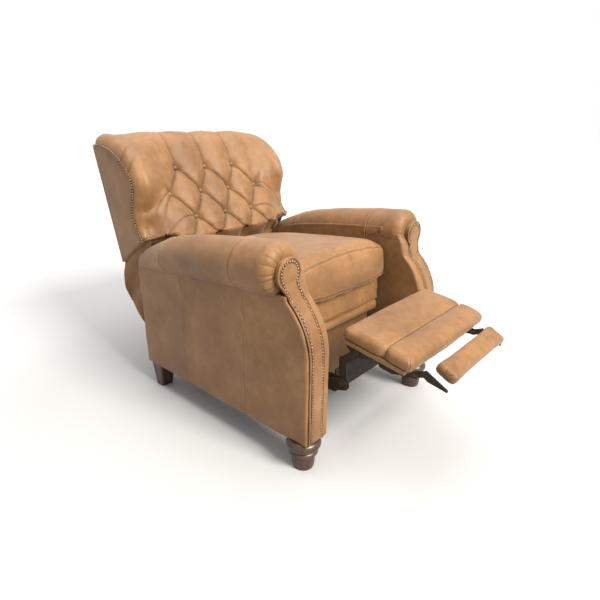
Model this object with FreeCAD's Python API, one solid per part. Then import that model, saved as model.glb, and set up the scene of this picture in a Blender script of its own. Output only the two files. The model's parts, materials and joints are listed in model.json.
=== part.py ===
import FreeCAD
import Part
import math
import os

# Push-back recliner armchair, shown open: footrest out, back at its most upright.
# Millimetres. +Z is up, the chair faces -Y, and X runs across it, with the
# sitter's right hand towards -X. While the pieces are made, Y is measured from the
# middle of the arms. At the end everything is moved along Y so that the origin
# lies on the floor under the middle of the open chair's box.

V = FreeCAD.Vector
X_AXIS = V(1, 0, 0)

# ---- arms -------------------------------------------------------------------
ARM_INNER = 264.0          # half the width of the seat opening
ARM_WIDTH = 103.0
ARM_OUTER = ARM_INNER + ARM_WIDTH
ARM_FRONT = -405.0         # front face of the arms
ARM_REAR = 400.0           # back of the arms, under the rear cover
ARM_BOTTOM = 100.0         # height of the feet
SIDE_PANEL = 15.0          # padded outer side panel
INNER_PAD = 16.0           # padded inner side panel
FACING = 14.0              # padded board on the front of each arm
REAR_COVER = 9.0           # padded panel on the back of the arms
POST_DEPTH = 50.0
BOTTOM_RAIL = 36.0         # width of an arm's bottom rail
BOTTOM_RAIL_TOP = 210.0
FRONT_POST_TOP = 400.0
REAR_POST_TOP = 455.0
TOP_RAIL = 50.0            # depth of the arched rail under the roll
ROLL_X = ARM_OUTER - 29.0  # centre of the arm roll
# the roll drops and thins towards the back: (y, height of its centre, radius)
ROLL_STATIONS = [(ARM_FRONT + 107, 609, 78), (-90, 593, 75.5), (90, 574, 70),
                 (220, 553, 61), (330, 524, 45), (392, 504, 33)]
FRONT_CURVE_START = 365.0  # the arm's front is upright below this height
FRONT_CURVE_END = 529.0    # and curves back up to this height
FRONT_CURVE_BACK = 78.0    # how far it has gone back there
FRONT_HEAD_START = 575.0   # upright again above this height
FRONT_HEAD_BACK = 93.0
FRONT_TOP = 720.0          # above the arm
FRONT_CLEAR = 100.0        # how far cutting blocks reach past the arm
FACING_HEAD = 47.0         # radius of the facing's round head
FACING_HEAD_DROP = 8.0     # its centre below the roll's
FACING_NECK = 545.0        # the facing is straight-sided below this height
PANEL_THICK = 15.0         # leather panel across the front of the base
PANEL_REAR = -188.0
PANEL_TOP = 312.0
CROSS_RAIL_REAR = -115.0
CROSS_RAIL = 30.0
REAR_RAIL_HEIGHT = 70.0
REAR_COVER_TOP = 470.0
REAR_COVER_SILL = 245.0    # the rear cover is open above this between the arms

# ---- nails ------------------------------------------------------------------
NAIL_RADIUS = 5.2
NAIL_HEIGHT = 2.8
NAIL_PITCH = 13.5
NAIL_GAP = 0.2             # keeps a flat nail back clear of a curved face
NAIL_LOOP = 34.0           # radius of the nails' loop on the facing's head
NAIL_INNER_X = ROLL_X - 35.0
NAIL_OUTER_X = ROLL_X + 8.0
NAIL_LOW = 16.0            # the lowest nails are this far above the arm's bottom

# ---- feet -------------------------------------------------------------------
FOOT_X = ARM_OUTER - 40.0
FRONT_FOOT_Y = ARM_FRONT + 44.0
REAR_FOOT_Y = 366.0
FOOT_RADIUS = 53.0
BOLT_RADIUS = 4.0
BOLT_LENGTH = 90.0

# ---- steel mechanism: each layer's outer face, measured from the middle -----
PLATE = 3.0
MECH_LAYER = ARM_INNER             # rails screwed to the arms
SWING_LAYER = MECH_LAYER - 5.0     # swing links
SEAT_LAYER = SWING_LAYER - 5.0     # seat side plates
REAR_LEG_LAYER = SEAT_LAYER - 5.0  # rear leg links and back brackets
FRONT_LEG_LAYER = REAR_LEG_LAYER - 5.0
CARRIER_LAYER = FRONT_LEG_LAYER - 5.0
BRACKET_LAYER = CARRIER_LAYER - 5.0
FLIPPER_BRACKET_LAYER = BRACKET_LAYER - 41.0
FLIPPER_BAR_LAYER = FLIPPER_BRACKET_LAYER - 5.0
PANEL_HALF = FRONT_LEG_LAYER - 16.0    # half width of what lies between the legs
RIVET = 5.0                        # rivet radius
RIVET_GAP = 0.06                   # running clearance of a rivet in its link
RIVET_HEAD = 8.5
HEAD_THICK = 1.4
LINK_WIDTH = 30.0
MECH_RAIL_FRONT = -180.0
MECH_RAIL_REAR = 345.0
MECH_RAIL_HALF = 32.0

# ---- seat swing -------------------------------------------------------------
SWING_LENGTH = 120.0
SWING_LEAN = 12.0                  # links lean back this far when upright
SWING_Z = 165.0
SWING_FRONT_Y = -30.0
SWING_REAR_Y = 245.0

# ---- seat -------------------------------------------------------------------
SEAT_SLOPE = 5.8                   # degrees, down towards the back
SEAT_FRONT = -220.0
SEAT_REAR = 305.0
SEAT_RAIL_TOP = 450.0              # top of the seat rails at the front
SEAT_RAIL = 25.0
SEAT_RAIL_HEIGHT = 60.0
SPRING_WIRE = 2.0
SPRING_TURNS = 18
SPRING_REACH = 22.0                # half width of a spring's straight runs
SPRINGS_PER_SIDE = 2
DECK = 4.0
# (y, z) outline of the steel plate on each side of the seat
SEAT_PLATE = [(-128, 245), (300, 255), (392, 300), (396, 345), (340, 380), (300, 398),
              (-212, 446), (-212, 396), (-128, 350)]
RAIL_PAD_FRONT = -247.0
RAIL_PAD_THICK = 28.0
RAIL_PAD_LOW = 320.0
RAIL_PAD_TOP = 362.0
CUSHION_HALF = ARM_INNER - 5.0
CUSHION_FRONT = -285.0
CUSHION_REAR = 318.0
CUSHION_THICK = 118.0
CUSHION_ROUND = 30.0
SOFT_GAP = 0.5

# ---- back -------------------------------------------------------------------
HINGE_Y = 370.0
HINGE_Z = 330.0
BACK_Y = 345.0                     # a point of the back's front face
BACK_Z = 550.0
BACK_LEAN = 15.5
BACK_PAD = 88.0
BACK_OUTER = ARM_OUTER + 3.0
BACK_HALF = ARM_INNER - 6.0        # half width between the arms
BACK_WIDE = BACK_OUTER - 70.0      # half width above the arms, up to the wings
BACK_DEPTH = 176.0
BACK_TOP = 417.0                   # above the back's reference point
BACK_LOW = -60.0
BACK_ARM_LINE = 50.0               # the pad is narrow below this height
SWELL = CUSHION_THICK - 118.0      # the back swells out just above the cushion
# the face of the pad from the side, in the upright back: (depth, height)
BACK_FACE = [(0, BACK_LOW), (-6, -28 + SWELL), (-58, 22 + SWELL), (-50, 60 + SWELL),
             (14, 330), (42, 393)]
BACK_RAILS = ((-120, -70), (60, 100), (345, 395))
BACK_STRAPS = (-40, 20, 110, 170, 230, 290)
BACK_POST = 30.0
OUTSIDE_PANEL = 12.0
WING_PANEL = 15.0
WING_BOARD = 18.0
WING_ROLL = 12.0                   # the wing's padding stands this far past its nails
# the wing's nail line, seen from the side in the upright back: (depth, height)
WING_LINE = [(160, 413), (100, 392), (48, 358), (5, 312), (-20, 268), (-27, 224),
             (-8, 180), (13, 144), (15, 110), (9, 76), (-8, 39)]
WING_HEEL = (164, -23)
# the rear skirt's outer and inner faces from the side: (y, z)
SKIRT_OUTER = [(508, 478), (537, 372), (420, 262)]
SKIRT_INNER = [(418, 265), (533, 373.5), (504.5, 478)]
SKIRT_HALF = BACK_OUTER - 15.0
BUTTON_RADIUS = 9.0
BUTTON_PITCH_X = 140.0
BUTTON_PITCH_Z = 95.0
BUTTON_TOP = 290.0
BUTTON_ROWS = 4

# ---- footrest ---------------------------------------------------------------
LEG_LINK = 175.0
LEG_PIVOT_Y = -95.0
LEG_PIVOT_Z = 270.0
LEG_REACH = 335.0                  # from the leg's pivot to the cross plate's, opened
CROSS_PLATE_Y = -400.0
CROSS_PLATE_LOW = 231.0
CROSS_PLATE_HIGH = 305.0
FOOTREST_Y = -418.0                # rear top edge of the footrest, opened
FOOTREST_Z = 449.0
FOOTREST_DROP = 9.3                # degrees, front edge down
FOOTREST_LENGTH = 235.0
FOOTREST_HALF = ARM_INNER - 22.0
FOOTREST_THICK = 50.0
FOOTREST_BOARD = 12.0
FOOTREST_PIVOT = (62.3, -62.0)     # along the footrest and up from its rear edge
FLIPPER_PIVOT = (FOOTREST_LENGTH - 10.0, -60.0)
FLIPPER_START = FOOTREST_LENGTH + 33.0
FLIPPER_LIFT = 3.0
FLIPPER_DROP = 19.1                # degrees below the footrest's own slope
FLIPPER_LENGTH = 72.0
FLIPPER_THICK = 40.0
FLIPPER_HALF = FLIPPER_BRACKET_LAYER - 16.0
CARRIER_BEND = 345.0               # height of the bend in the curved uprights


# ---- helpers ----------------------------------------------------------------
def block(x0, x1, y0, y1, z0, z1):
    return Part.makeBox(x1 - x0, y1 - y0, z1 - z0, V(x0, y0, z0))


def across(low_x, high_x, points):
    """A prism along X over an outline of (y, z) points."""
    outline = [V(low_x, y, z) for y, z in points]
    face = Part.Face(Part.makePolygon(outline + outline[:1]))
    return face.extrude(V(high_x - low_x, 0, 0))


def soften(shape, radius):
    """Round every edge of a pad."""
    return shape.makeFillet(radius, shape.Edges)


def mirrored(shape):
    return shape.mirror(V(0, 0, 0), X_AXIS)


def pair(shape):
    """The piece and its mirror image, as two separate solids."""
    return Part.Compound([shape, mirrored(shape)])


def turned_about(shape, y, z, degrees):
    """A copy turned about a line along X. Positive turns lift the back."""
    copy = shape.copy()
    copy.rotate(V(0, y, z), X_AXIS, degrees)
    return copy


def turned_point(y, z, centre_y, centre_z, degrees):
    angle = math.radians(degrees)
    dy = y - centre_y
    dz = z - centre_z
    return (centre_y + dy * math.cos(angle) - dz * math.sin(angle),
            centre_z + dy * math.sin(angle) + dz * math.cos(angle))


def disc(y, z, radius, low_x, thick):
    return Part.makeCylinder(radius, thick, V(low_x, y, z), X_AXIS)


def bar(start, end, width, outer_x):
    """A flat bar with round ends between two (y, z) points, on the +X side."""
    low_x = outer_x - PLATE
    run = V(0, end[0] - start[0], end[1] - start[1])
    side = V(0, -run.z, run.y)
    side.normalize()
    side.multiply(width / 2)
    corners = [V(low_x, *start) - side, V(low_x, *end) - side,
               V(low_x, *end) + side, V(low_x, *start) + side]
    body = Part.Face(Part.makePolygon(corners + corners[:1])).extrude(V(PLATE, 0, 0))
    for y, z in (start, end):
        body = body.fuse(disc(y, z, width / 2, low_x, PLATE))
    return body.removeSplitter()


def bored(shape, points, radius):
    """The shape with a hole along X through each (y, z) point."""
    for y, z in points:
        shape = shape.cut(disc(y, z, radius, 0, ARM_OUTER))
    return shape


def rivet(y, z, owner_outer, rider_outer):
    """A rivet held in the owner's plate, with its head over the rider's plate."""
    if rider_outer < owner_outer:
        shank_low = rider_outer - PLATE
        shank_high = owner_outer
        head_low = shank_low - HEAD_THICK
    else:
        shank_low = owner_outer - PLATE
        shank_high = rider_outer
        head_low = shank_high
    shank = disc(y, z, RIVET, shank_low, shank_high - shank_low)
    return shank.fuse(disc(y, z, RIVET_HEAD, head_low, HEAD_THICK)).removeSplitter()


# ---- arms -------------------------------------------------------------------
def front_curve_radius():
    rise = FRONT_CURVE_END - FRONT_CURVE_START
    return (FRONT_CURVE_BACK ** 2 + rise ** 2) / (2 * FRONT_CURVE_BACK)


def front_face(z):
    """How far the arm's front lies behind ARM_FRONT at a height, and its slope."""
    if z <= FRONT_CURVE_START:
        return 0.0, 0.0
    if z <= FRONT_CURVE_END:
        radius = front_curve_radius()
        rise = z - FRONT_CURVE_START
        level = math.sqrt(radius ** 2 - rise ** 2)
        return radius - level, rise / level
    slope = (FRONT_HEAD_BACK - FRONT_CURVE_BACK) / (FRONT_HEAD_START - FRONT_CURVE_END)
    if z <= FRONT_HEAD_START:
        return FRONT_CURVE_BACK + slope * (z - FRONT_CURVE_END), slope
    return FRONT_HEAD_BACK, 0.0


def front_waste(setback):
    """Everything in front of the arm's front face, set back by the given amount."""
    def at(z):
        return V(0, ARM_FRONT + front_face(z)[0] + setback, z)
    middle = (FRONT_CURVE_START + FRONT_CURVE_END) / 2
    arc = Part.Arc(at(FRONT_CURVE_START), at(middle), at(FRONT_CURVE_END)).toShape()
    below = Part.makeLine(at(0), at(FRONT_CURVE_START))
    far = ARM_FRONT - FRONT_CLEAR
    rest = Part.makePolygon([at(FRONT_CURVE_END), at(FRONT_HEAD_START), at(FRONT_TOP),
                             V(0, far, FRONT_TOP), V(0, far, 0), at(0)])
    face = Part.Face(Part.Wire([below, arc] + rest.Edges))
    return face.extrude(V(ARM_OUTER + FRONT_CLEAR, 0, 0))


def arm_roll():
    rings = []
    for y, z, radius in ROLL_STATIONS:
        rings.append(Part.Wire(Part.makeCircle(radius, V(ROLL_X, y, z), V(0, 1, 0))))
    return Part.makeLoft(rings, True, True)


def under_roll(low_x, high_x, bottom, front_y, rear_y):
    """A slab that reaches up to the middle of the roll, with the roll cut out."""
    points = [(front_y, bottom), (front_y, ROLL_STATIONS[0][1])]
    points += [(y, z) for y, z, radius in ROLL_STATIONS if front_y < y < rear_y]
    points += [(rear_y, ROLL_STATIONS[-1][1]), (rear_y, bottom)]
    return across(low_x, high_x, points).cut(arm_roll())


def side_panel():
    panel = under_roll(ARM_OUTER - SIDE_PANEL, ARM_OUTER, ARM_BOTTOM,
                       ARM_FRONT, ARM_REAR + REAR_COVER)
    return biggest(panel.cut(front_waste(0)).cut(facing_room()))


def inner_pad():
    panel = under_roll(ARM_INNER, ARM_INNER + INNER_PAD, BOTTOM_RAIL_TOP,
                       ARM_FRONT, ARM_REAR)
    return biggest(panel.cut(front_waste(0)).cut(facing_room()))


def biggest(shape):
    return max(shape.Solids, key=lambda solid: solid.Volume)


def facing_room():
    """The upper part of the arm's front, where only the facing stands."""
    return block(0, ARM_OUTER + FRONT_CLEAR, ARM_FRONT - FRONT_CLEAR,
                 ROLL_STATIONS[0][0], FACING_NECK - 5, FRONT_TOP)


def head_z():
    """Height of the centre of the facing's round head."""
    return ROLL_STATIONS[0][1] - FACING_HEAD_DROP


def facing():
    front = ARM_FRONT - 10
    depth = FRONT_HEAD_BACK + FRONT_CLEAR
    strip = block(ARM_INNER + INNER_PAD, ARM_OUTER - SIDE_PANEL,
                  front, front + depth, ARM_BOTTOM, FACING_NECK)
    head = Part.makeCylinder(FACING_HEAD, depth, V(ROLL_X, front, head_z()), V(0, 1, 0))
    outline = strip.fuse(head)
    slab = front_waste(FACING).cut(front_waste(0))
    return biggest(outline.common(slab))


def dome(place, outward):
    """A nail head: a spherical cap with its flat side on the leather."""
    sphere_radius = (NAIL_RADIUS ** 2 + NAIL_HEIGHT ** 2) / (2 * NAIL_HEIGHT)
    half_angle = math.asin(NAIL_RADIUS / sphere_radius) / 2
    shoulder = V(sphere_radius * math.sin(half_angle), 0,
                 NAIL_HEIGHT - sphere_radius * (1 - math.cos(half_angle)))
    centre = V(0, 0, 0)
    crown = V(0, 0, NAIL_HEIGHT)
    rim = V(NAIL_RADIUS, 0, 0)
    outline = [Part.makeLine(centre, rim), Part.Arc(rim, shoulder, crown).toShape(),
               Part.makeLine(crown, centre)]
    head = Part.Face(Part.Wire(outline)).revolve(centre, V(0, 0, 1), 360)
    head.Placement = FreeCAD.Placement(place, FreeCAD.Rotation(V(0, 0, 1), outward))
    return head


def spaced(points, pitch):
    """Places at an even pitch along a run of (a, b) points."""
    places = []
    left = 0.0
    for (a0, b0), (a1, b1) in zip(points, points[1:]):
        length = math.hypot(a1 - a0, b1 - b0)
        while left < length:
            share = left / length
            places.append((a0 + (a1 - a0) * share, b0 + (b1 - b0) * share))
            left += pitch
        left -= length
    return places


def arm_nail_path():
    """The facing's nails, seen from the front: up, round its head and down again."""
    low = ARM_BOTTOM + NAIL_LOW
    path = [(NAIL_OUTER_X, low), (NAIL_OUTER_X, 500), (ROLL_X + 8, 540)]
    steps = 16
    for step in range(steps + 1):
        angle = math.radians(-62 + step * 304.0 / steps)
        path.append((ROLL_X + NAIL_LOOP * math.cos(angle),
                     head_z() + NAIL_LOOP * math.sin(angle)))
    path += [(NAIL_INNER_X - 4, 520), (NAIL_INNER_X, 470), (NAIL_INNER_X, low)]
    return path


def arm_nails():
    heads = []
    for x, z in spaced(arm_nail_path(), NAIL_PITCH):
        back, slope = front_face(z)
        outward = V(0, -1, slope)
        outward.normalize()
        surface = V(x, ARM_FRONT + back, z)
        heads.append(dome(surface + V(outward).multiply(NAIL_GAP), outward))
    return heads


def foot_bolt(y):
    return Part.makeCylinder(BOLT_RADIUS, BOLT_LENGTH,
                             V(FOOT_X, y, ARM_BOTTOM - BOLT_LENGTH / 2))


def front_foot():
    """A turned bun foot: two rings over a tapered toe."""
    top = ARM_BOTTOM
    ring = FOOT_RADIUS
    edges = [
        Part.makeLine(V(0, 0, 0), V(ring - 22, 0, 0)),
        Part.Arc(V(ring - 22, 0, 0), V(ring - 18, 0, 24), V(ring - 20, 0, 46)).toShape(),
        Part.Arc(V(ring - 20, 0, 46), V(ring - 8, 0, 56), V(ring - 18, 0, 66)).toShape(),
        Part.Arc(V(ring - 18, 0, 66), V(ring, 0, 81), V(ring - 10, 0, top)).toShape(),
        Part.makeLine(V(ring - 10, 0, top), V(0, 0, top)),
        Part.makeLine(V(0, 0, top), V(0, 0, 0)),
    ]
    foot = Part.Face(Part.Wire(edges)).revolve(V(0, 0, 0), V(0, 0, 1), 360)
    foot.translate(V(FOOT_X, FRONT_FOOT_Y, 0))
    return foot.cut(foot_bolt(FRONT_FOOT_Y))


def rear_foot():
    """A block foot that tapers down and forwards."""
    def ring(half_x, y0, y1, z):
        corners = [V(FOOT_X - half_x, y0, z), V(FOOT_X + half_x, y0, z),
                   V(FOOT_X + half_x, y1, z), V(FOOT_X - half_x, y1, z)]
        return Part.makePolygon(corners + corners[:1])
    foot = Part.makeLoft([ring(24, REAR_FOOT_Y - 18, REAR_FOOT_Y + 26, 0),
                          ring(33, REAR_FOOT_Y - 34, REAR_FOOT_Y + 34, ARM_BOTTOM)],
                         True, True)
    uprights = [edge for edge in foot.Edges if edge.BoundBox.ZLength > ARM_BOTTOM - 1]
    return foot.makeFillet(9, uprights).cut(foot_bolt(REAR_FOOT_Y))


def arm_post(y0, y1, top, foot_y):
    post = block(ARM_INNER + BOTTOM_RAIL, ARM_OUTER - SIDE_PANEL, y0, y1, ARM_BOTTOM, top)
    return post.cut(foot_bolt(foot_y))


def make_arms(parts):
    front = ARM_FRONT + FACING
    roll = arm_roll()
    add_sides(parts, "outer_side_panel", side_panel())
    add_sides(parts, "arm_roll", roll)
    add_sides(parts, "inner_arm_pad", inner_pad())
    add_sides(parts, "arm_facing", facing())
    nails = arm_nails()
    parts["arm_nails"] = Part.Compound(nails + [mirrored(nail) for nail in nails])

    front_post = arm_post(front, front + POST_DEPTH, FRONT_POST_TOP, FRONT_FOOT_Y)
    rear_post = arm_post(ARM_REAR - POST_DEPTH, ARM_REAR, REAR_POST_TOP, REAR_FOOT_Y)
    parts["arm_front_posts"] = pair(front_post.cut(front_waste(FACING)))
    parts["arm_rear_posts"] = pair(rear_post)
    parts["arm_bottom_rails"] = pair(block(ARM_INNER, ARM_INNER + BOTTOM_RAIL, front,
                                           ARM_REAR, ARM_BOTTOM, BOTTOM_RAIL_TOP))
    parts["arm_top_rails"] = pair(biggest(top_rail().cut(roll).cut(front_waste(FACING))))


def top_rail():
    """The arched rail that carries the roll, from the front post to the rear one."""
    front = ARM_FRONT + FACING + POST_DEPTH
    rear = ARM_REAR - POST_DEPTH
    crown_y = ROLL_STATIONS[2][0]
    crown = REAR_POST_TOP + 35
    outline = [(front, FRONT_POST_TOP - TOP_RAIL), (front, FRONT_POST_TOP),
               (front + 10, crown + 10), (crown_y, crown), (rear, REAR_POST_TOP),
               (rear, REAR_POST_TOP - TOP_RAIL), (crown_y, crown - 60),
               (front + 60, crown - TOP_RAIL)]
    return across(ARM_INNER + INNER_PAD, ARM_OUTER - SIDE_PANEL, outline)


def make_feet(parts):
    add_sides(parts, "front_foot", front_foot())
    add_sides(parts, "rear_foot", rear_foot())
    bolts = [foot_bolt(FRONT_FOOT_Y), foot_bolt(REAR_FOOT_Y)]
    parts["foot_bolts"] = Part.Compound(bolts + [mirrored(bolt) for bolt in bolts])


def add_sides(parts, name, shape):
    """The piece on the sitter's left (+X) and its mirror image on the right."""
    parts[name + "_left"] = shape
    parts[name + "_right"] = mirrored(shape)


def make_base(parts):
    rail_front = CROSS_RAIL_REAR - CROSS_RAIL
    rail_top = SWING_Z - MECH_RAIL_HALF - 3
    rail = block(-ARM_INNER, ARM_INNER, rail_front, CROSS_RAIL_REAR, ARM_BOTTOM, rail_top)
    blocking = block(-PANEL_HALF + 38, PANEL_HALF - 38, PANEL_REAR, rail_front,
                     ARM_BOTTOM, rail_top)
    parts["front_cross_rail"] = rail.fuse(blocking).removeSplitter()
    parts["rear_cross_rail"] = block(-ARM_INNER, ARM_INNER, ARM_REAR - POST_DEPTH, ARM_REAR,
                                     ARM_BOTTOM, ARM_BOTTOM + REAR_RAIL_HEIGHT)
    panel = block(-PANEL_HALF, PANEL_HALF, PANEL_REAR - PANEL_THICK, PANEL_REAR,
                  ARM_BOTTOM, PANEL_TOP)
    parts["base_front_panel"] = soften(panel, 4)
    rear = block(-ARM_OUTER + SIDE_PANEL, ARM_OUTER - SIDE_PANEL, ARM_REAR,
                 ARM_REAR + REAR_COVER, ARM_BOTTOM, REAR_COVER_TOP)
    gap = block(-ARM_INNER, ARM_INNER, ARM_REAR - 5, ARM_REAR + REAR_COVER + 5,
                REAR_COVER_SILL, REAR_COVER_TOP + 5)
    parts["rear_base_panel"] = rear.cut(gap)


# ---- mechanism between the base and the seat --------------------------------
def swing_ends(y):
    """A swing link's two pivots as (y, z), upright."""
    lean = math.radians(SWING_LEAN)
    return ((y, SWING_Z),
            (y + SWING_LENGTH * math.sin(lean), SWING_Z + SWING_LENGTH * math.cos(lean)))


def make_swing(parts):
    front = swing_ends(SWING_FRONT_Y)
    rear = swing_ends(SWING_REAR_Y)
    rail = block(MECH_LAYER - PLATE, MECH_LAYER, MECH_RAIL_FRONT, MECH_RAIL_REAR,
                 SWING_Z - MECH_RAIL_HALF, SWING_Z + MECH_RAIL_HALF)
    parts["mechanism_rails"] = pair(bored(rail, [front[0], rear[0]], RIVET))
    base_rivets = [rivet(*ends[0], MECH_LAYER, SWING_LAYER) for ends in (front, rear)]
    parts["base_rivets"] = Part.Compound(base_rivets + [mirrored(r) for r in base_rivets])
    for name, ends in (("front_swing_links", front), ("rear_swing_links", rear)):
        link = bar(*ends, LINK_WIDTH, SWING_LAYER)
        parts[name] = pair(bored(link, ends, RIVET + RIVET_GAP))


def seat_plate():
    leg = (LEG_PIVOT_Y, LEG_PIVOT_Z)
    hinge = (HINGE_Y, HINGE_Z)
    plate = across(SEAT_LAYER - PLATE, SEAT_LAYER, SEAT_PLATE)
    holes = [swing_ends(SWING_FRONT_Y)[1], swing_ends(SWING_REAR_Y)[1], leg, hinge]
    return bored(plate, holes, RIVET)


def sloped(shape):
    """Seat pieces are made level and then tipped down towards the back."""
    return turned_about(shape, SEAT_FRONT, SEAT_RAIL_TOP, -SEAT_SLOPE)


def seat_spring(x):
    """A sinuous spring: straight runs across, joined by half turns."""
    half = SPRING_REACH
    turns = SPRING_TURNS
    start = SEAT_FRONT + 8
    pitch = (SEAT_REAR - 8 - start) / turns
    z = SEAT_RAIL_TOP + SPRING_WIRE
    edges = []
    side = 1
    for turn in range(turns):
        y = start + turn * pitch
        edges.append(Part.makeLine(V(x - side * half, y, z), V(x + side * half, y, z)))
        edges.append(Part.Arc(V(x + side * half, y, z),
                              V(x + side * (half + pitch / 2), y + pitch / 2, z),
                              V(x + side * half, y + pitch, z)).toShape())
        side = -side
    edges.append(Part.makeLine(V(x - side * half, start + turns * pitch, z),
                               V(x + side * half, start + turns * pitch, z)))
    section = Part.Wire(Part.makeCircle(SPRING_WIRE - 0.1, V(x - half, start, z), X_AXIS))
    return Part.Wire(edges).makePipeShell([section], True, False)


def make_seat(parts):
    inner = SEAT_LAYER - PLATE - SEAT_RAIL
    low = SEAT_RAIL_TOP - SEAT_RAIL_HEIGHT
    top = SEAT_RAIL_TOP
    parts["seat_plates"] = pair(seat_plate())
    side = sloped(block(inner, inner + SEAT_RAIL, SEAT_FRONT, SEAT_REAR, low, top))
    parts["seat_side_rails"] = pair(side)
    front = sloped(block(-inner, inner, SEAT_FRONT, SEAT_FRONT + SEAT_RAIL, low - 20, top))
    rear = sloped(block(-inner, inner, SEAT_REAR - SEAT_RAIL, SEAT_REAR, low, top))
    parts["seat_cross_rails"] = Part.Compound([front, rear])
    step = inner / SPRINGS_PER_SIDE
    springs = [sloped(seat_spring(step * (i + 0.5))) for i in range(SPRINGS_PER_SIDE)]
    parts["seat_springs"] = Part.Compound(springs + [mirrored(s) for s in springs])
    deck_low = top + 2 * SPRING_WIRE
    deck = block(-inner, inner, SEAT_FRONT, SEAT_REAR, deck_low, deck_low + DECK)
    parts["seat_deck"] = sloped(deck)
    cushion_low = deck_low + DECK + SOFT_GAP
    cushion = block(-CUSHION_HALF, CUSHION_HALF, CUSHION_FRONT, CUSHION_REAR,
                    cushion_low, cushion_low + CUSHION_THICK)
    parts["seat_cushion"] = sloped(soften(cushion, CUSHION_ROUND))
    pad = block(-PANEL_HALF, PANEL_HALF, RAIL_PAD_FRONT, RAIL_PAD_FRONT + RAIL_PAD_THICK,
                RAIL_PAD_LOW, RAIL_PAD_TOP)
    parts["seat_rail_pad"] = soften(pad, 12)
    pins = [rivet(*swing_ends(SWING_FRONT_Y)[1], SEAT_LAYER, SWING_LAYER),
            rivet(*swing_ends(SWING_REAR_Y)[1], SEAT_LAYER, SWING_LAYER),
            rivet(LEG_PIVOT_Y, LEG_PIVOT_Z, SEAT_LAYER, REAR_LEG_LAYER),
            rivet(HINGE_Y, HINGE_Z, SEAT_LAYER, REAR_LEG_LAYER)]
    parts["seat_rivets"] = Part.Compound(pins + [mirrored(pin) for pin in pins])


# ---- back -------------------------------------------------------------------
def leaned(shape):
    """Back pieces are made upright and then leaned back."""
    return turned_about(shape, BACK_Y, BACK_Z, -BACK_LEAN)


def upright(low_x, high_x, low_depth, high_depth, low, high):
    return block(low_x, high_x, BACK_Y + low_depth, BACK_Y + high_depth,
                 BACK_Z + low, BACK_Z + high)


def wing_edge(grow):
    """The wing's front edge as a smooth curve, grown outwards from the nail line."""
    points = []
    last = len(WING_LINE) - 1
    for i, (depth, height) in enumerate(WING_LINE):
        ahead = WING_LINE[min(i + 1, last)]
        behind = WING_LINE[max(i - 1, 0)]
        run = math.hypot(ahead[0] - behind[0], ahead[1] - behind[1])
        out_depth = (ahead[1] - behind[1]) / run
        out_height = -(ahead[0] - behind[0]) / run
        points.append((depth + grow * out_depth, height + grow * out_height))
    return points


def wing_slab(low_x, high_x, grow, rear):
    """A wing layer: its front follows the nail line, its back is straight."""
    points = [V(low_x, BACK_Y + d, BACK_Z + h) for d, h in wing_edge(grow)]
    curve = Part.BSplineCurve()
    curve.interpolate(points)
    first = points[0]
    final = points[-1]
    heel = V(low_x, BACK_Y + rear, BACK_Z + WING_HEEL[1])
    crest = V(low_x, BACK_Y + rear, first.z)
    edges = [curve.toShape(), Part.makeLine(final, heel), Part.makeLine(heel, crest)]
    if crest.distanceToPoint(first) > 0.01:
        edges.append(Part.makeLine(crest, first))
    return Part.Face(Part.Wire(edges)).extrude(V(high_x - low_x, 0, 0))


def back_face_depth(height):
    """Depth of the pad's face at a height in the upright back."""
    for (d0, h0), (d1, h1) in zip(BACK_FACE, BACK_FACE[1:]):
        if height <= h1:
            return d0 + (d1 - d0) * (height - h0) / (h1 - h0)
    return BACK_FACE[-1][0]


def back_pad():
    """The tufted pad: narrow between the arms, wide above them, fuller low down."""
    face = [(BACK_Y + depth, BACK_Z + height) for depth, height in BACK_FACE]
    outline = face + [(BACK_Y + BACK_PAD, BACK_Z + BACK_TOP),
                      (BACK_Y + BACK_PAD, BACK_Z + BACK_LOW)]
    front = min(depth for depth, height in BACK_FACE)
    narrow = across(-BACK_HALF, BACK_HALF, outline)
    wide = across(-BACK_WIDE, BACK_WIDE, outline)
    above = upright(-BACK_WIDE, BACK_WIDE, front - 1, BACK_PAD, BACK_ARM_LINE, BACK_TOP)
    return narrow.fuse(wide.common(above)).removeSplitter()


def button(x, height, pad):
    """A covered tufting button: a dome on the face of the pad."""
    depth = back_face_depth(height) + 5
    ball = Part.makeSphere(BUTTON_RADIUS + 2, V(x, BACK_Y + depth, BACK_Z + height))
    return ball.cut(pad)


def button_places():
    places = []
    for row in range(BUTTON_ROWS):
        offset = 0.0 if row % 2 == 0 else 0.5
        count = 3 if row % 2 == 0 else 4
        height = BUTTON_TOP - row * BUTTON_PITCH_Z
        for i in range(count):
            places.append(((i - 1 - offset) * BUTTON_PITCH_X, height))
    return places


def wing_nails():
    edge = wing_edge(-9)
    heads = []
    for depth, height in spaced(edge, NAIL_PITCH):
        place = V(BACK_OUTER + 0.2, BACK_Y + depth, BACK_Z + height)
        heads.append(leaned(dome(place, V(1, 0, 0))))
    return heads


def back_bracket():
    """The steel strap from the recline hinge up the outer face of a back post."""
    top = turned_point(BACK_Y + 122, BACK_Z, BACK_Y, BACK_Z, -BACK_LEAN)
    hinge = (HINGE_Y, HINGE_Z)
    return bored(bar(hinge, top, 36, REAR_LEG_LAYER), [hinge], RIVET + RIVET_GAP)


def rear_skirt():
    """The soft panel under the outside back, hanging down towards the seat's rear."""
    return across(-SKIRT_HALF, SKIRT_HALF, SKIRT_OUTER + SKIRT_INNER)


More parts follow.
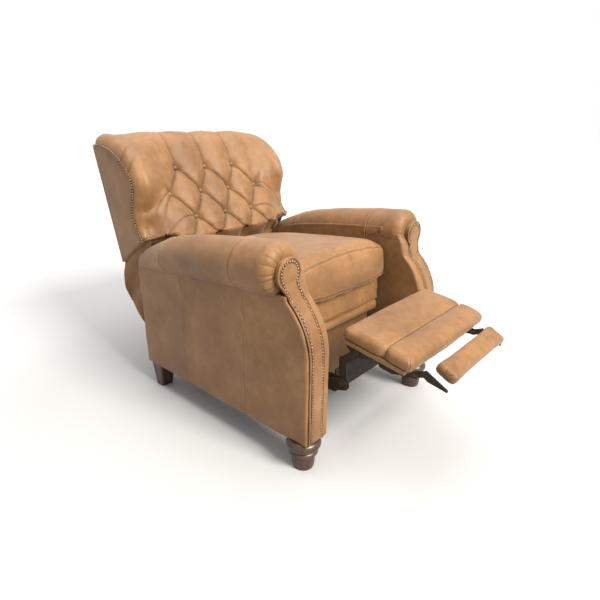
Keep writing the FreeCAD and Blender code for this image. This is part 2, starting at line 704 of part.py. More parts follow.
def make_back(parts):
    frame_front = BACK_PAD + 2.5
    post_outer = REAR_LEG_LAYER - PLATE
    post_inner = post_outer - BACK_POST
    pad = back_pad()
    parts["back_pad"] = leaned(pad)
    post = upright(post_inner, post_outer, frame_front, frame_front + 45, -150, 395)
    parts["back_posts"] = pair(leaned(post))
    rails = [upright(-post_inner, post_inner, frame_front, frame_front + 25, low, high)
             for low, high in BACK_RAILS]
    parts["back_cross_rails"] = Part.Compound([leaned(rail) for rail in rails])
    straps = [upright(-post_inner, post_inner, BACK_PAD, frame_front, height, height + 50)
              for height in BACK_STRAPS]
    parts["back_webbing"] = Part.Compound([leaned(strap) for strap in straps])
    rear = BACK_DEPTH - OUTSIDE_PANEL
    board_outer = BACK_OUTER - WING_PANEL
    slab = upright(-board_outer, board_outer, rear, BACK_DEPTH, WING_HEEL[1], BACK_TOP - 4)
    lid = upright(-BACK_WIDE, BACK_WIDE, BACK_PAD, BACK_DEPTH, BACK_TOP - 17, BACK_TOP - 4)
    parts["outside_back_panel"] = leaned(slab.fuse(lid).removeSplitter())
    pad_outer = board_outer - WING_BOARD
    add_sides(parts, "wing_pad", leaned(wing_slab(BACK_WIDE, pad_outer, WING_ROLL, rear)))
    parts["wing_boards"] = pair(leaned(wing_slab(pad_outer, board_outer, 0, rear)))
    add_sides(parts, "outside_wing",
              leaned(wing_slab(board_outer, BACK_OUTER, 0, BACK_DEPTH)))
    nails = wing_nails()
    parts["wing_nails"] = Part.Compound(nails + [mirrored(nail) for nail in nails])
    buttons = [leaned(button(x, height, pad)) for x, height in button_places()]
    parts["tuft_buttons"] = Part.Compound(buttons)
    parts["back_brackets"] = pair(back_bracket())
    parts["rear_skirt"] = rear_skirt()


# ---- footrest ---------------------------------------------------------------
def footrest_point(along, up):
    """A (y, z) place from its distance along the footrest and height over its top."""
    return turned_point(FOOTREST_Y - along, FOOTREST_Z + up,
                        FOOTREST_Y, FOOTREST_Z, FOOTREST_DROP)


def tipped(shape):
    """Footrest pieces are made level and then dropped at the front."""
    return turned_about(shape, FOOTREST_Y, FOOTREST_Z, FOOTREST_DROP)


def along_footrest(low_x, high_x, start, end, low, high):
    return tipped(block(low_x, high_x, FOOTREST_Y - end, FOOTREST_Y - start,
                        FOOTREST_Z + low, FOOTREST_Z + high))


def footrest_plate(outer_x, points):
    """A steel plate in the footrest's own measures, on the +X side."""
    outline = [(FOOTREST_Y - along, FOOTREST_Z + up) for along, up in points]
    return tipped(across(outer_x - PLATE, outer_x, outline))


def leg_places():
    """The leg's three pivots as (y, z), opened: seat, knee and cross plate."""
    half = LEG_REACH / 2
    drop = math.sqrt(LEG_LINK ** 2 - half ** 2)
    return ((LEG_PIVOT_Y, LEG_PIVOT_Z), (LEG_PIVOT_Y - half, LEG_PIVOT_Z - drop),
            (LEG_PIVOT_Y - LEG_REACH, LEG_PIVOT_Z))


def carrier():
    """The curved upright from the cross plate to the footrest's rear pivot."""
    foot = leg_places()[2]
    head = footrest_point(*FOOTREST_PIVOT)
    low = bar((CROSS_PLATE_Y + 10, foot[1]), (foot[0] - 2, foot[1]), 42, CARRIER_LAYER)
    bend = (foot[0] + 2, CARRIER_BEND)
    neck = bar((foot[0] - 2, foot[1]), bend, 26, CARRIER_LAYER)
    crown = bar(bend, head, 24, CARRIER_LAYER)
    plate = low.fuse([neck, crown]).removeSplitter()
    return bored(plate, [foot, head], RIVET)


def cross_plate():
    wide = CARRIER_LAYER - PLATE
    face = block(-wide, wide, CROSS_PLATE_Y - 5, CROSS_PLATE_Y,
                 CROSS_PLATE_LOW, CROSS_PLATE_HIGH)
    lip = block(-wide, wide, CROSS_PLATE_Y, CROSS_PLATE_Y + 20,
                CROSS_PLATE_LOW, CROSS_PLATE_LOW + 5)
    return face.fuse(lip).removeSplitter()


def flipper_place(shape):
    """Flipper pieces are made with their rear top edge where it meets the footrest."""
    y = FOOTREST_Y - FLIPPER_START
    z = FOOTREST_Z + FLIPPER_LIFT
    return tipped(turned_about(shape, y, z, FLIPPER_DROP))


def flipper_bar():
    """The flat bar from the flipper's pivot, widening under its pad."""
    y = FOOTREST_Y - FLIPPER_START
    low = FOOTREST_Z + FLIPPER_LIFT - FLIPPER_THICK
    outline = [(y + 6, low), (y - FLIPPER_LENGTH + 4, low),
               (y - FLIPPER_LENGTH + 2, low - 7), (y - 16, low - 24), (y + 6, low - 22)]
    under = flipper_place(across(FLIPPER_BAR_LAYER - PLATE, FLIPPER_BAR_LAYER, outline))
    pivot = footrest_point(*FLIPPER_PIVOT)
    near = turned_point(y, low - 10, y, FOOTREST_Z + FLIPPER_LIFT, FLIPPER_DROP)
    near = turned_point(*near, FOOTREST_Y, FOOTREST_Z, FOOTREST_DROP)
    arm = bar(pivot, near, 18, FLIPPER_BAR_LAYER)
    return bored(under.fuse(arm).removeSplitter(), [pivot], RIVET + RIVET_GAP)


def make_footrest(parts):
    seat, knee, front = leg_places()
    rear_link = bored(bar(seat, knee, LINK_WIDTH, REAR_LEG_LAYER), [seat], RIVET + RIVET_GAP)
    parts["rear_leg_links"] = pair(bored(rear_link, [knee], RIVET))
    front_link = bar(knee, front, 38, FRONT_LEG_LAYER)
    parts["front_leg_links"] = pair(bored(front_link, [knee, front], RIVET + RIVET_GAP))
    parts["knee_rivets"] = pair(rivet(*knee, REAR_LEG_LAYER, FRONT_LEG_LAYER))

    pivot = footrest_point(*FOOTREST_PIVOT)
    tip = footrest_point(*FLIPPER_PIVOT)
    parts["cross_plate"] = cross_plate()
    parts["footrest_carriers"] = pair(carrier())
    pins = [rivet(*front, CARRIER_LAYER, FRONT_LEG_LAYER),
            rivet(*pivot, CARRIER_LAYER, BRACKET_LAYER)]
    parts["carrier_rivets"] = Part.Compound(pins + [mirrored(pin) for pin in pins])

    half = FOOTREST_HALF
    board_top = FOOTREST_BOARD - FOOTREST_THICK
    inset = 8
    parts["footrest_board"] = along_footrest(-half + inset, half - inset, inset,
                                             FLIPPER_PIVOT[0] - 12, -FOOTREST_THICK, board_top)
    pad = block(-half, half, FOOTREST_Y - FOOTREST_LENGTH, FOOTREST_Y,
                FOOTREST_Z + board_top, FOOTREST_Z)
    parts["footrest_pad"] = tipped(soften(pad, 17))
    pivot_x, pivot_up = FOOTREST_PIVOT
    rear_bracket = footrest_plate(BRACKET_LAYER, [
        (pivot_x - 40, -FOOTREST_THICK), (pivot_x + 60, -FOOTREST_THICK),
        (pivot_x + 12, pivot_up - 10), (pivot_x - 12, pivot_up - 10)])
    far = FLIPPER_PIVOT[0]
    tip_bracket = footrest_plate(FLIPPER_BRACKET_LAYER, [
        (far - 130, -FOOTREST_THICK), (far + 7, -FOOTREST_THICK), (far + 9, -68),
        (far - 10, -72), (far - 65, -92), (far - 105, -92)])
    brackets = [bored(rear_bracket, [pivot], RIVET + RIVET_GAP),
                bored(tip_bracket, [tip], RIVET)]
    parts["footrest_brackets"] = Part.Compound(brackets + [mirrored(b) for b in brackets])

    y = FOOTREST_Y - FLIPPER_START
    z = FOOTREST_Z + FLIPPER_LIFT
    flipper = block(-FLIPPER_HALF, FLIPPER_HALF, y - FLIPPER_LENGTH, y,
                    z - FLIPPER_THICK, z)
    parts["flipper_pad"] = flipper_place(soften(flipper, 15))
    parts["flipper_bars"] = pair(flipper_bar())
    parts["flipper_rivets"] = pair(rivet(*tip, FLIPPER_BRACKET_LAYER, FLIPPER_BAR_LAYER))


def centre_shift(parts):
    """How far to move along Y so that the box's middle is at zero."""
    front = min(shape.optimalBoundingBox(False, False).YMin for shape in parts.values())
    rear = max(shape.optimalBoundingBox(False, False).YMax for shape in parts.values())
    return -round((front + rear) / 2, 2)


def main():
    parts = {}
    make_arms(parts)
    make_feet(parts)
    make_base(parts)
    make_swing(parts)
    make_seat(parts)
    make_back(parts)
    make_footrest(parts)
    shift = centre_shift(parts)
    os.makedirs("parts", exist_ok=True)
    for name, shape in parts.items():
        shape.translate(V(0, shift, 0))
        shape.exportStep("parts/" + name + ".step")
    print("pieces", len(parts), "shift", shift)


main()
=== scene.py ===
import json
import math
import bpy
import numpy as np
from mathutils import Matrix, Vector


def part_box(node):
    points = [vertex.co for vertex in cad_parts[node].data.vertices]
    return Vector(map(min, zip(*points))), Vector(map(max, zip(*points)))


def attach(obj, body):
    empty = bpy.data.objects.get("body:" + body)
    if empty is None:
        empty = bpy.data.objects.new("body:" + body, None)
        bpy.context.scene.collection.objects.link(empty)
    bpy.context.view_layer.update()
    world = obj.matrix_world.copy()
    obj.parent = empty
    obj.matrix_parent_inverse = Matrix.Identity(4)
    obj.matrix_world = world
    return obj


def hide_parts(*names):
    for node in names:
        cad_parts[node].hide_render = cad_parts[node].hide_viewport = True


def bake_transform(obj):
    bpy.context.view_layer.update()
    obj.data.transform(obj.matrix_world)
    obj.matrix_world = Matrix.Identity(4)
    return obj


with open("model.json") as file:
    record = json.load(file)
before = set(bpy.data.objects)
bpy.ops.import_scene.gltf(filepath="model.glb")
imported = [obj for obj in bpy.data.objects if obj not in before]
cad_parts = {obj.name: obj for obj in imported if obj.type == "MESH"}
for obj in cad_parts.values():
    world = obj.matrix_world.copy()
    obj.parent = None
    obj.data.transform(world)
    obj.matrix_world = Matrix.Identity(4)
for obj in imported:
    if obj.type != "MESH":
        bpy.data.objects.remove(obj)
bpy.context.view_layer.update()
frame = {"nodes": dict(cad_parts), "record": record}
nodes = frame["nodes"]

# Push-back recliner armchair in tan leather, shown open. Metres. The chair faces -Y.
# Shapes are written with Y measured from the middle of the arms, and every mesh is
# moved by MIDDLE_Y as it is made, which puts it where the CAD model is.
ARM_FRONT = -0.405
MIDDLE_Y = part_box("outer_side_panel_left")[0].y - ARM_FRONT

# ---- arms ----
ARM_INNER = 0.264
ARM_OUTER = 0.367
ARM_REAR = 0.409
ARM_BOTTOM = 0.100
ROLL_X = 0.338
# The roll's middle line, front to rear: (y, height, radius).
ROLL = np.array([(-0.298, 0.609, 0.078), (-0.090, 0.593, 0.0755), (0.090, 0.574, 0.070),
                 (0.220, 0.553, 0.061), (0.330, 0.524, 0.045), (0.392, 0.504, 0.033)])
ROLL_REAR = ROLL[-1, 0]
ROLL_FRONT = -0.262          # where the roll turns in to its pleated end
CURVE_LOW = 0.365            # the front of the arm is upright below this
CURVE_HIGH = 0.529           # and curves back up to this
CURVE_BACK = 0.078
HEAD_LOW = 0.575             # the straight slope between the curve and the head ends
HEAD_BACK = 0.093
NAIL_LOOP = 0.034            # radius of the nails round the head of the facing
NAIL_PITCH = 0.0094
NAIL_RADIUS = 0.0046
NAIL_HEIGHT = 0.0036
NAIL_SUNK = 0.002            # how far a nail head goes into the leather
SEAM_WIDTH = 0.0022
REAR_HALF = 0.3515           # half width of the leather across the rear
REAR_IN = 0.4005             # its inner face
REAR_OUT = 0.4105            # and its outer face
HEAD_Z = 0.601               # centre of the facing's round head
# Seams across the roll and across the side panel, by y.
ROLL_SEAMS = (-0.152, 0.215)
SIDE_SEAMS = (-0.155, 0.150)

# ---- back, in its own upright measures: depth and height from a point of its face ----
BACK_Y = 0.345
BACK_Z = 0.550
BACK_LEAN = math.radians(-15.5)
BACK_DEPTH = 0.176
BACK_OUTER = 0.3705          # half the width over the outside wings
BACK_LOW = -0.023            # foot of the outside panels
BACK_HIGH = 0.409            # and their top
# The nails along a wing's front edge, from its top to its foot: (depth, height).
WING_LINE = [(0.160, 0.413), (0.100, 0.392), (0.048, 0.358), (0.005, 0.312),
             (-0.020, 0.268), (-0.027, 0.224), (-0.008, 0.180), (0.013, 0.144),
             (0.015, 0.110), (0.009, 0.076), (-0.008, 0.039)]
BUTTON_PITCH = 0.140
ROW_PITCH = 0.095
# Rows of buttons from the top: (height, places across in button pitches).
BUTTON_ROWS = ((0.290, (-1, 0, 1)), (0.195, (-1.5, -0.5, 0.5, 1.5)),
               (0.100, (-1, 0, 1)), (0.005, (-1.5, -0.5, 0.5, 1.5)))
# The middle of the back from the side, bottom to top and over the crest: (depth, height).
MIDDLE_LINE = [(0.004, -0.064), (-0.016, -0.030), (-0.072, 0.012), (-0.068, 0.050),
               (-0.054, 0.090), (-0.042, 0.125), (-0.029, 0.160), (-0.015, 0.200),
               (-0.001, 0.245), (0.013, 0.290), (0.026, 0.338), (0.046, 0.391),
               (0.098, 0.433), (0.171, 0.416)]
# From the middle out and round the wing: (x, share of the wing's shape, set back by).
ACROSS_LINE = [(0.0, 0.0, 0.0), (0.130, 0.0, 0.0), (0.215, 0.05, 0.0), (0.280, 0.52, 0.0),
               (0.322, 1.0, 0.0), (0.347, 1.0, 0.006), (0.3625, 1.0, 0.021),
               (0.3695, 1.0, 0.044)]
ARM_GAP = 0.2565             # the pad's half width between the arms
WING_ROLL = 0.028            # how far the wing's padding stands past its nails
TUFT_DEPTH = 0.023
NECK_HALF = 0.236            # half the width that runs straight down between the arms
WING_LEVEL = 3               # the wings start beside this point of MIDDLE_LINE
LAST_LEVEL = len(MIDDLE_LINE) - 1
# A covered button from its crown to its underside: (share of its radius, height).
BUTTON_PROFILE = [(0.0, 0.0062), (0.35, 0.0059), (0.62, 0.0050), (0.84, 0.0034),
                  (1.0, 0.0008), (0.97, -0.0022), (0.6, -0.0040), (0.0, -0.0044)]
# Each pleat starts at a button or at the wing's edge and fades: (x, height).
PLEATS = [[(0.212, 0.195), (0.245, 0.190), (0.288, 0.160), (0.322, 0.108)],
          [(0.212, 0.192), (0.240, 0.168), (0.270, 0.128), (0.288, 0.078)],
          [(0.142, 0.099), (0.200, 0.094), (0.262, 0.070), (0.312, 0.030)],
          [(0.367, 0.296), (0.347, 0.322), (0.322, 0.334), (0.305, 0.334)],
          [(0.367, 0.345), (0.345, 0.366), (0.322, 0.374), (0.310, 0.372)]]

# ---- footrest ----
FOOTREST_Y = -0.418
FOOTREST_Z = 0.449
FOOTREST_DROP = math.radians(9.3)
FOOTREST_LENGTH = 0.235
FOOTREST_HALF = 0.242
FOOTREST_SEAM = 0.146        # the cross seam, measured from the rear edge
FLIPPER_LENGTH = 0.072
FLIPPER_HALF = 0.177
FLIPPER_START = 0.268
FLIPPER_LIFT = 0.003
FLIPPER_DROP = math.radians(19.1)

# ---- seat ----
SEAT_FRONT = -0.220
SEAT_RAIL_TOP = 0.450
SEAT_SLOPE = math.radians(-5.8)
SEAT_HALF = 0.2265
CUSHION_LOW = 0.4588         # underside of the seat cushion before it is tipped
CUSHION_TOP = 0.5765
CUSHION_FRONT = -0.285
CUSHION_REAR = 0.317
# The cushion's two boxing seams: (height at the front corner, tilt in degrees).
CUSHION_SEAMS = ((CUSHION_TOP - 0.004, 48), (CUSHION_LOW - 0.006, -48))

# ---- stitching ----
STITCH_LENGTH = 0.0058
STITCH_PITCH = 0.0086
STITCH_STEP = 0.0011         # a stitch is drawn with points this far apart
THREAD_RADIUS = 0.0005

# ---- studio ----
FLOOR_REACH = 40.0
# Floor greys rise with distance: painted shade near the chair, where the key lamp is
# strongest, so the lit floor comes out evenly pale and bounces less light onto the chair.
FLOOR_GREYS = ((1.0, 0.36), (2.6, 0.60), (6.0, 1.0))   # (metres away, grey)


# ---------------------------------------------------------------- mesh helpers
def smooth_step(x, low, high):
    """0 up to low and 1 from high on, with a smooth rise between."""
    t = np.clip((np.asarray(x, float) - low) / (high - low), 0, 1)
    return t * t * (3 - 2 * t)


def spline(points, count):
    """A Catmull-Rom curve through the points, as count evenly parametrised points."""
    p = np.asarray(points, float)
    p = np.vstack([2 * p[0] - p[1], p, 2 * p[-1] - p[-2]])
    t = np.linspace(0, len(p) - 3, count)
    i = np.minimum(t.astype(int), len(p) - 4)
    f = (t - i)[:, None]
    a, b, c, d = p[i], p[i + 1], p[i + 2], p[i + 3]
    return 0.5 * (2 * b + (c - a) * f + (2 * a - 5 * b + 4 * c - d) * f ** 2
                  + (3 * b - a - 3 * c + d) * f ** 3)


def distances_along(path):
    """How far along a path each of its points lies."""
    return np.r_[0, np.cumsum(np.linalg.norm(np.diff(path, axis=0), axis=1))]


def read_off(path, run, places):
    """The path's points at the given places, where run is the place of each point."""
    return np.stack([np.interp(places, run, column) for column in path.T], axis=1)


def resampled(path, step):
    """The same path with points about a step apart."""
    path = np.asarray(path, float)
    run = distances_along(path)
    return read_off(path, run, np.linspace(0, run[-1], max(2, int(run[-1] / step) + 1)))


def lumps(points, size, seed):
    """A gentle unevenness between -1 and 1, the same on every run."""
    rng = np.random.default_rng(seed)
    total = np.zeros(points.shape[:-1])
    for _ in range(7):
        direction = rng.normal(size=3)
        direction *= rng.uniform(0.6, 1.6) / size / np.linalg.norm(direction)
        total += np.sin(points @ direction * 2 * math.pi + rng.uniform(0, 6.28))
    return total / 4


def turned(points, centre_y, centre_z, angle):
    """Points turned about a line along X."""
    p = np.array(points, float)
    dy = p[..., 1] - centre_y
    dz = p[..., 2] - centre_z
    p[..., 1] = centre_y + dy * math.cos(angle) - dz * math.sin(angle)
    p[..., 2] = centre_z + dy * math.sin(angle) + dz * math.cos(angle)
    return p


def grid_faces(rows, cols, wrap=False, start=0):
    """Quads over a grid of points, closed round its columns when it wraps."""
    r, c = np.meshgrid(np.arange(rows - 1), np.arange(cols if wrap else cols - 1),
                       indexing="ij")
    n = (c + 1) % cols
    quads = np.stack([r * cols + c, r * cols + n, (r + 1) * cols + n, (r + 1) * cols + c],
                     axis=-1)
    return quads.reshape(-1, 4) + start


def grid_normals(grid):
    """Normals of a grid of points, with their lengths left as they come."""
    return np.cross(np.gradient(grid, axis=1), np.gradient(grid, axis=0))


def shares(rows, cols, low=0):
    """A column running from 0 to 1 over the rows, and a row from low to 1."""
    return np.linspace(0, 1, rows)[:, None], np.linspace(low, 1, cols)[None, :]


def rounded_rim(rim):
    """0 on a panel's rim, rising along a quarter circle to 1 where rim reaches 1."""
    return np.sqrt(1 - (1 - np.clip(rim, 0, 1)) ** 2)


def dips(distance, width):
    """A sewn or folded line's profile: 1 on the line, falling off on both sides."""
    return np.exp(-(np.asarray(distance) / width) ** 2)


def seams_at(places, y, width):
    """The profiles of several seams across y, added up."""
    return sum(dips(y - place, width) for place in places)


def mesh_object(name, verts, faces, crease_shade=None):
    """A smooth mesh object. Its crease values are painted shade, darkening the leather where
    it is folded or sewn.
    """
    moved = np.asarray(verts, float).reshape(-1, 3) + (0, MIDDLE_Y, 0)
    data = bpy.data.meshes.new(name)
    data.from_pydata(moved.tolist(), [], [list(map(int, f)) for f in faces])
    data.validate()
    data.shade_smooth()
    # Each point's crease value is painted shade for folds and seams.
    attribute = data.attributes.new("crease_shade", "FLOAT", "POINT")
    if crease_shade is not None:
        attribute.data.foreach_set("value", np.asarray(crease_shade, np.float32).ravel())
    piece = bpy.data.objects.new(name, data)
    bpy.context.scene.collection.objects.link(piece)
    return piece


def applied(piece):
    """The piece with its modifiers applied."""
    graph = bpy.context.evaluated_depsgraph_get()
    data = bpy.data.meshes.new_from_object(piece.evaluated_get(graph))
    piece.modifiers.clear()
    piece.data = data
    data.shade_smooth()
    return piece


def shell(name, grid, thickness, outward, crease_shade=None):
    """Leather and foam of that thickness behind a grid of points that looks outward."""
    faces = grid_faces(*grid.shape[:2])
    if grid_normals(grid).sum(axis=(0, 1)) @ np.asarray(outward, float) < 0:
        faces = faces[:, ::-1]
    piece = mesh_object(name, grid, faces, crease_shade)
    solid = piece.modifiers.new("thickness", "SOLIDIFY")
    solid.thickness = thickness
    solid.offset = -1
    return applied(piece)


def tube(path, radius, sides=8):
    """Vertices and faces of a round tube along a path of points."""
    path = np.asarray(path, float)
    count = len(path)
    ahead = np.roll(path, -1, axis=0) - np.roll(path, 1, axis=0)
    ahead[0] = path[1] - path[0]
    ahead[-1] = path[-1] - path[-2]
    ahead /= np.linalg.norm(ahead, axis=1)[:, None]
    side = np.cross(ahead[0], (0.31, 0.52, 0.79))
    angle = np.linspace(0, 2 * math.pi, sides, endpoint=False)[:, None]
    rings = []
    for point, direction in zip(path, ahead):
        side = side - direction * (side @ direction)
        side /= np.linalg.norm(side)
        other = np.cross(direction, side)
        rings.append(point + radius * (np.cos(angle) * side + np.sin(angle) * other))
    faces = [list(f) for f in grid_faces(count, sides, wrap=True)]
    faces.append(list(range(sides))[::-1])
    faces.append([(count - 1) * sides + k for k in range(sides)])
    return np.concatenate(rings), faces


def merged(parts):
    """Several (vertices, faces) pairs as one."""
    verts, faces, start = [], [], 0
    for v, f in parts:
        verts.append(np.asarray(v, float).reshape(-1, 3))
        faces += [[int(i) + start for i in face] for face in f]
        start += len(verts[-1])
    return np.concatenate(verts), faces


def welt(name, path, radius=0.0032):
    """A round cord sewn along a path."""
    return mesh_object(name, *tube(resampled(path, 0.005), radius, 8))


def stitches(name, lines):
    """Short thread stitches lying along lines of surface points."""
    stride = max(1, round(STITCH_PITCH / STITCH_STEP))
    span = max(2, round(STITCH_LENGTH / STITCH_STEP))
    pieces = []
    for line in lines:
        fine = resampled(line, STITCH_STEP)
        for start in range(0, len(fine) - span, stride):
            pieces.append(tube(fine[start:start + span], THREAD_RADIUS, 5))
    return mesh_object(name, *merged(pieces))


SIDES = (("left", 1), ("right", -1))


def on_side(sign, points):
    """Points of the left side as they are, or mirrored to the right side."""
    return np.asarray(points, float) * (sign, 1, 1)


# ---------------------------------------------------------------- materials
def new_material(name):
    """An empty material, its node tree and its surface shader."""
    material = bpy.data.materials.new(name)
    material.use_nodes = True
    tree = material.node_tree
    return material, tree, tree.nodes["Principled BSDF"]


def add(tree, kind, **inputs):
    """A new node with some of its inputs set."""
    node = tree.nodes.new(kind)
    for key, value in inputs.items():
        node.inputs[key.replace("_", " ")].default_value = value
    return node


def noise(tree, coordinates, scale, detail=3.0, roughness=0.5):
    """The height of a noise texture at the coordinates."""
    node = add(tree, "ShaderNodeTexNoise", Scale=scale, Detail=detail, Roughness=roughness)
    tree.links.new(coordinates, node.inputs["Vector"])
    return node.outputs["Fac"]


def ramp(tree, factor, stops):
    """A colour for each value of factor, blended between the stops."""
    node = tree.nodes.new("ShaderNodeValToRGB")
    elements = node.color_ramp.elements
    while len(elements) < len(stops):
        elements.new(0.5)
    for element, (position, colour) in zip(elements, stops):
        element.position = position
        element.color = (*colour, 1)
    tree.links.new(factor, node.inputs["Fac"])
    return node.outputs["Color"]


def mix(tree, factor, first, second, mode="MIX"):
    """Two colours mixed by factor. Each may be a value or a socket."""
    node = tree.nodes.new("ShaderNodeMix")
    node.data_type = "RGBA"
    node.blend_type = mode
    for socket, value in ((node.inputs[0], factor), (node.inputs[6], first),
                          (node.inputs[7], second)):
        if isinstance(value, bpy.types.NodeSocket):
            tree.links.new(value, socket)
        elif isinstance(value, tuple):
            socket.default_value = (*value, 1)
        else:
            socket.default_value = value
    return node.outputs[2]


def bump(tree, shader, layers):
    """Stacked bump: (height socket, strength, distance) from coarse to fine."""
    normal = None
    for height, strength, distance in layers:
        node = add(tree, "ShaderNodeBump", Strength=strength, Distance=distance)
        tree.links.new(height, node.inputs["Height"])
        if normal is not None:
            tree.links.new(normal, node.inputs["Normal"])
        normal = node.outputs["Normal"]
    tree.links.new(normal, shader.inputs["Normal"])


def object_coordinates(tree):
    """Coordinates that stay with the piece."""
    return tree.nodes.new("ShaderNodeTexCoord").outputs["Object"]


def leather_material(name, dark, mid, light, fold):
    """Oiled full-grain leather: cloudy colour, fine pebble grain, and painted shade that
    darkens it towards the fold colour in its folds and seams.
    """
    material, tree, shader = new_material(name)
    place = object_coordinates(tree)
    cloud = noise(tree, place, 5.5, 5.0, 0.62)
    mottle = noise(tree, place, 42.0, 4.0, 0.6)
    colour = ramp(tree, cloud, [(0.30, dark), (0.50, mid), (0.72, light)])
    patch = ramp(tree, mottle, [(0.34, (0.80, 0.77, 0.72)), (0.62, (1.08, 1.06, 1.03))])
    colour = mix(tree, 0.75, colour, patch, "MULTIPLY")
    fine = ramp(tree, noise(tree, place, 260.0, 2.0), [(0.36, (0.88, 0.86, 0.83)),
                                                       (0.60, (1.04, 1.03, 1.02))])
    colour = mix(tree, 0.6, colour, fine, "MULTIPLY")
    # Painted shade: each point's crease value blends the colour towards the dark fold colour.
    crease_shade = tree.nodes.new("ShaderNodeAttribute")
    crease_shade.attribute_name = "crease_shade"
    colour = mix(tree, crease_shade.outputs["Fac"], colour, fold)
    tree.links.new(colour, shader.inputs["Base Color"])
    rough = ramp(tree, mottle, [(0.3, (0.44,) * 3), (0.7, (0.60,) * 3)])
    tree.links.new(rough, shader.inputs["Roughness"])
    shader.inputs["Specular IOR Level"].default_value = 0.30
    shader.inputs["Sheen Weight"].default_value = 0.08
    shader.inputs["Sheen Roughness"].default_value = 0.5
    pebble = add(tree, "ShaderNodeTexVoronoi", Scale=520.0)
    tree.links.new(place, pebble.inputs["Vector"])
    bump(tree, shader, [(noise(tree, place, 26.0, 5.0, 0.6), 0.22, 0.004),
                        (noise(tree, place, 120.0, 3.0), 0.20, 0.0012),
                        (pebble.outputs["Distance"], 0.30, 0.0006)])
    return material


def wood_material(name, dark, light, roughness, grain):
    """Stained wood: grain bands stretched along Z."""
    material, tree, shader = new_material(name)
    stretch = add(tree, "ShaderNodeMapping", Scale=(grain, grain, grain * 0.09))
    tree.links.new(object_coordinates(tree), stretch.inputs["Vector"])
    bands = noise(tree, stretch.outputs["Vector"], 1.0, 6.0, 0.65)
    tree.links.new(ramp(tree, bands, [(0.32, dark), (0.68, light)]),
                   shader.inputs["Base Color"])
    shader.inputs["Roughness"].default_value = roughness
    bump(tree, shader, [(bands, 0.25, 0.001)])
    return material


def metal_material(name, base, worn, roughness, metallic, scale=60.0, shine=0.5):
    """Painted or plated metal with worn, slightly uneven patches."""
    material, tree, shader = new_material(name)
    place = object_coordinates(tree)
    wear = noise(tree, place, scale, 5.0, 0.65)
    tree.links.new(ramp(tree, wear, [(0.42, base), (0.74, worn)]),
                   shader.inputs["Base Color"])
    gloss = ramp(tree, noise(tree, place, scale * 3, 3.0),
                 [(0.3, (roughness * 0.8,) * 3), (0.7, (min(1.0, roughness * 1.25),) * 3)])
    tree.links.new(gloss, shader.inputs["Roughness"])
    shader.inputs["Metallic"].default_value = metallic
    shader.inputs["Specular IOR Level"].default_value = shine
    bump(tree, shader, [(noise(tree, place, scale * 6, 2.0), 0.12, 0.0004)])
    return material


def woven_material(name, dark, light, pitch):
    """Plain woven webbing."""
    material, tree, shader = new_material(name)
    place = object_coordinates(tree)
    waves = []
    for direction in ("X", "Z"):
        wave = add(tree, "ShaderNodeTexWave", Scale=1.0 / pitch, Distortion=0.4)
        wave.bands_direction = direction
        tree.links.new(place, wave.inputs["Vector"])
        waves.append(wave.outputs["Color"])
    weave = mix(tree, 0.5, waves[0], waves[1])
    tree.links.new(ramp(tree, weave, [(0.3, dark), (0.7, light)]),
                   shader.inputs["Base Color"])
    shader.inputs["Roughness"].default_value = 0.9
    bump(tree, shader, [(weave, 0.4, 0.001)])
    return material


# The last colour of each leather is the painted shade mixed into its folds and seams.
TAN = leather_material("tan_leather", (0.112, 0.052, 0.0165), (0.152, 0.073, 0.0235),
                       (0.196, 0.100, 0.035), (0.046, 0.019, 0.0065))
THREAD = leather_material("thread", (0.33, 0.19, 0.085), (0.40, 0.24, 0.115),
                          (0.44, 0.27, 0.13), (0.30, 0.17, 0.08))
ESPRESSO = wood_material("espresso_wood", (0.016, 0.0085, 0.005), (0.058, 0.030, 0.016),
                         0.34, 46.0)
PINE = wood_material("frame_wood", (0.36, 0.23, 0.11), (0.58, 0.42, 0.24), 0.75, 60.0)
DARK_STEEL = metal_material("dark_steel", (0.016, 0.0095, 0.0065), (0.034, 0.021, 0.015),
                            0.60, 0.0, shine=0.2)
PLATED = metal_material("plated_steel", (0.040, 0.034, 0.030), (0.11, 0.095, 0.085), 0.40,
                        0.8)
SPRING = metal_material("spring_steel", (0.16, 0.16, 0.165), (0.30, 0.30, 0.31), 0.4, 1.0)
NAIL = metal_material("antique_nail", (0.085, 0.055, 0.034), (0.33, 0.25, 0.17), 0.30, 0.9,
                      420.0)
WEBBING = woven_material("webbing", (0.03, 0.028, 0.026), (0.10, 0.095, 0.09), 0.006)

NODE_MATERIALS = {"leather_outer": TAN, "nails": NAIL, "dark_wood": ESPRESSO,
                  "frame_wood": PINE, "dark_steel": DARK_STEEL, "rivet_steel": PLATED,
                  "spring_steel": SPRING, "webbing": WEBBING}


def dress_nodes():
    """Every CAD node in the record gets the material of its slot, except the footrest board
    and the seat side rails, which get tan leather.
    """
    for row in frame["record"]["subparts"]:
        piece = nodes[row["node"]]
        piece.data.materials.clear()
        look = NODE_MATERIALS[row["material_slot"]]
        if row["node"] in ("footrest_board", "seat_side_rails"):
            look = TAN
        piece.data.materials.append(look)


def leather(piece, body, *replaced, fill=None, material=TAN):
    """The piece rides on its body in leather and stands for the CAD nodes named."""
    piece.data.materials.clear()
    piece.data.materials.append(material)
    if body is not None:
        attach(piece, body)
    if replaced:
        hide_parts(*replaced)
    return piece


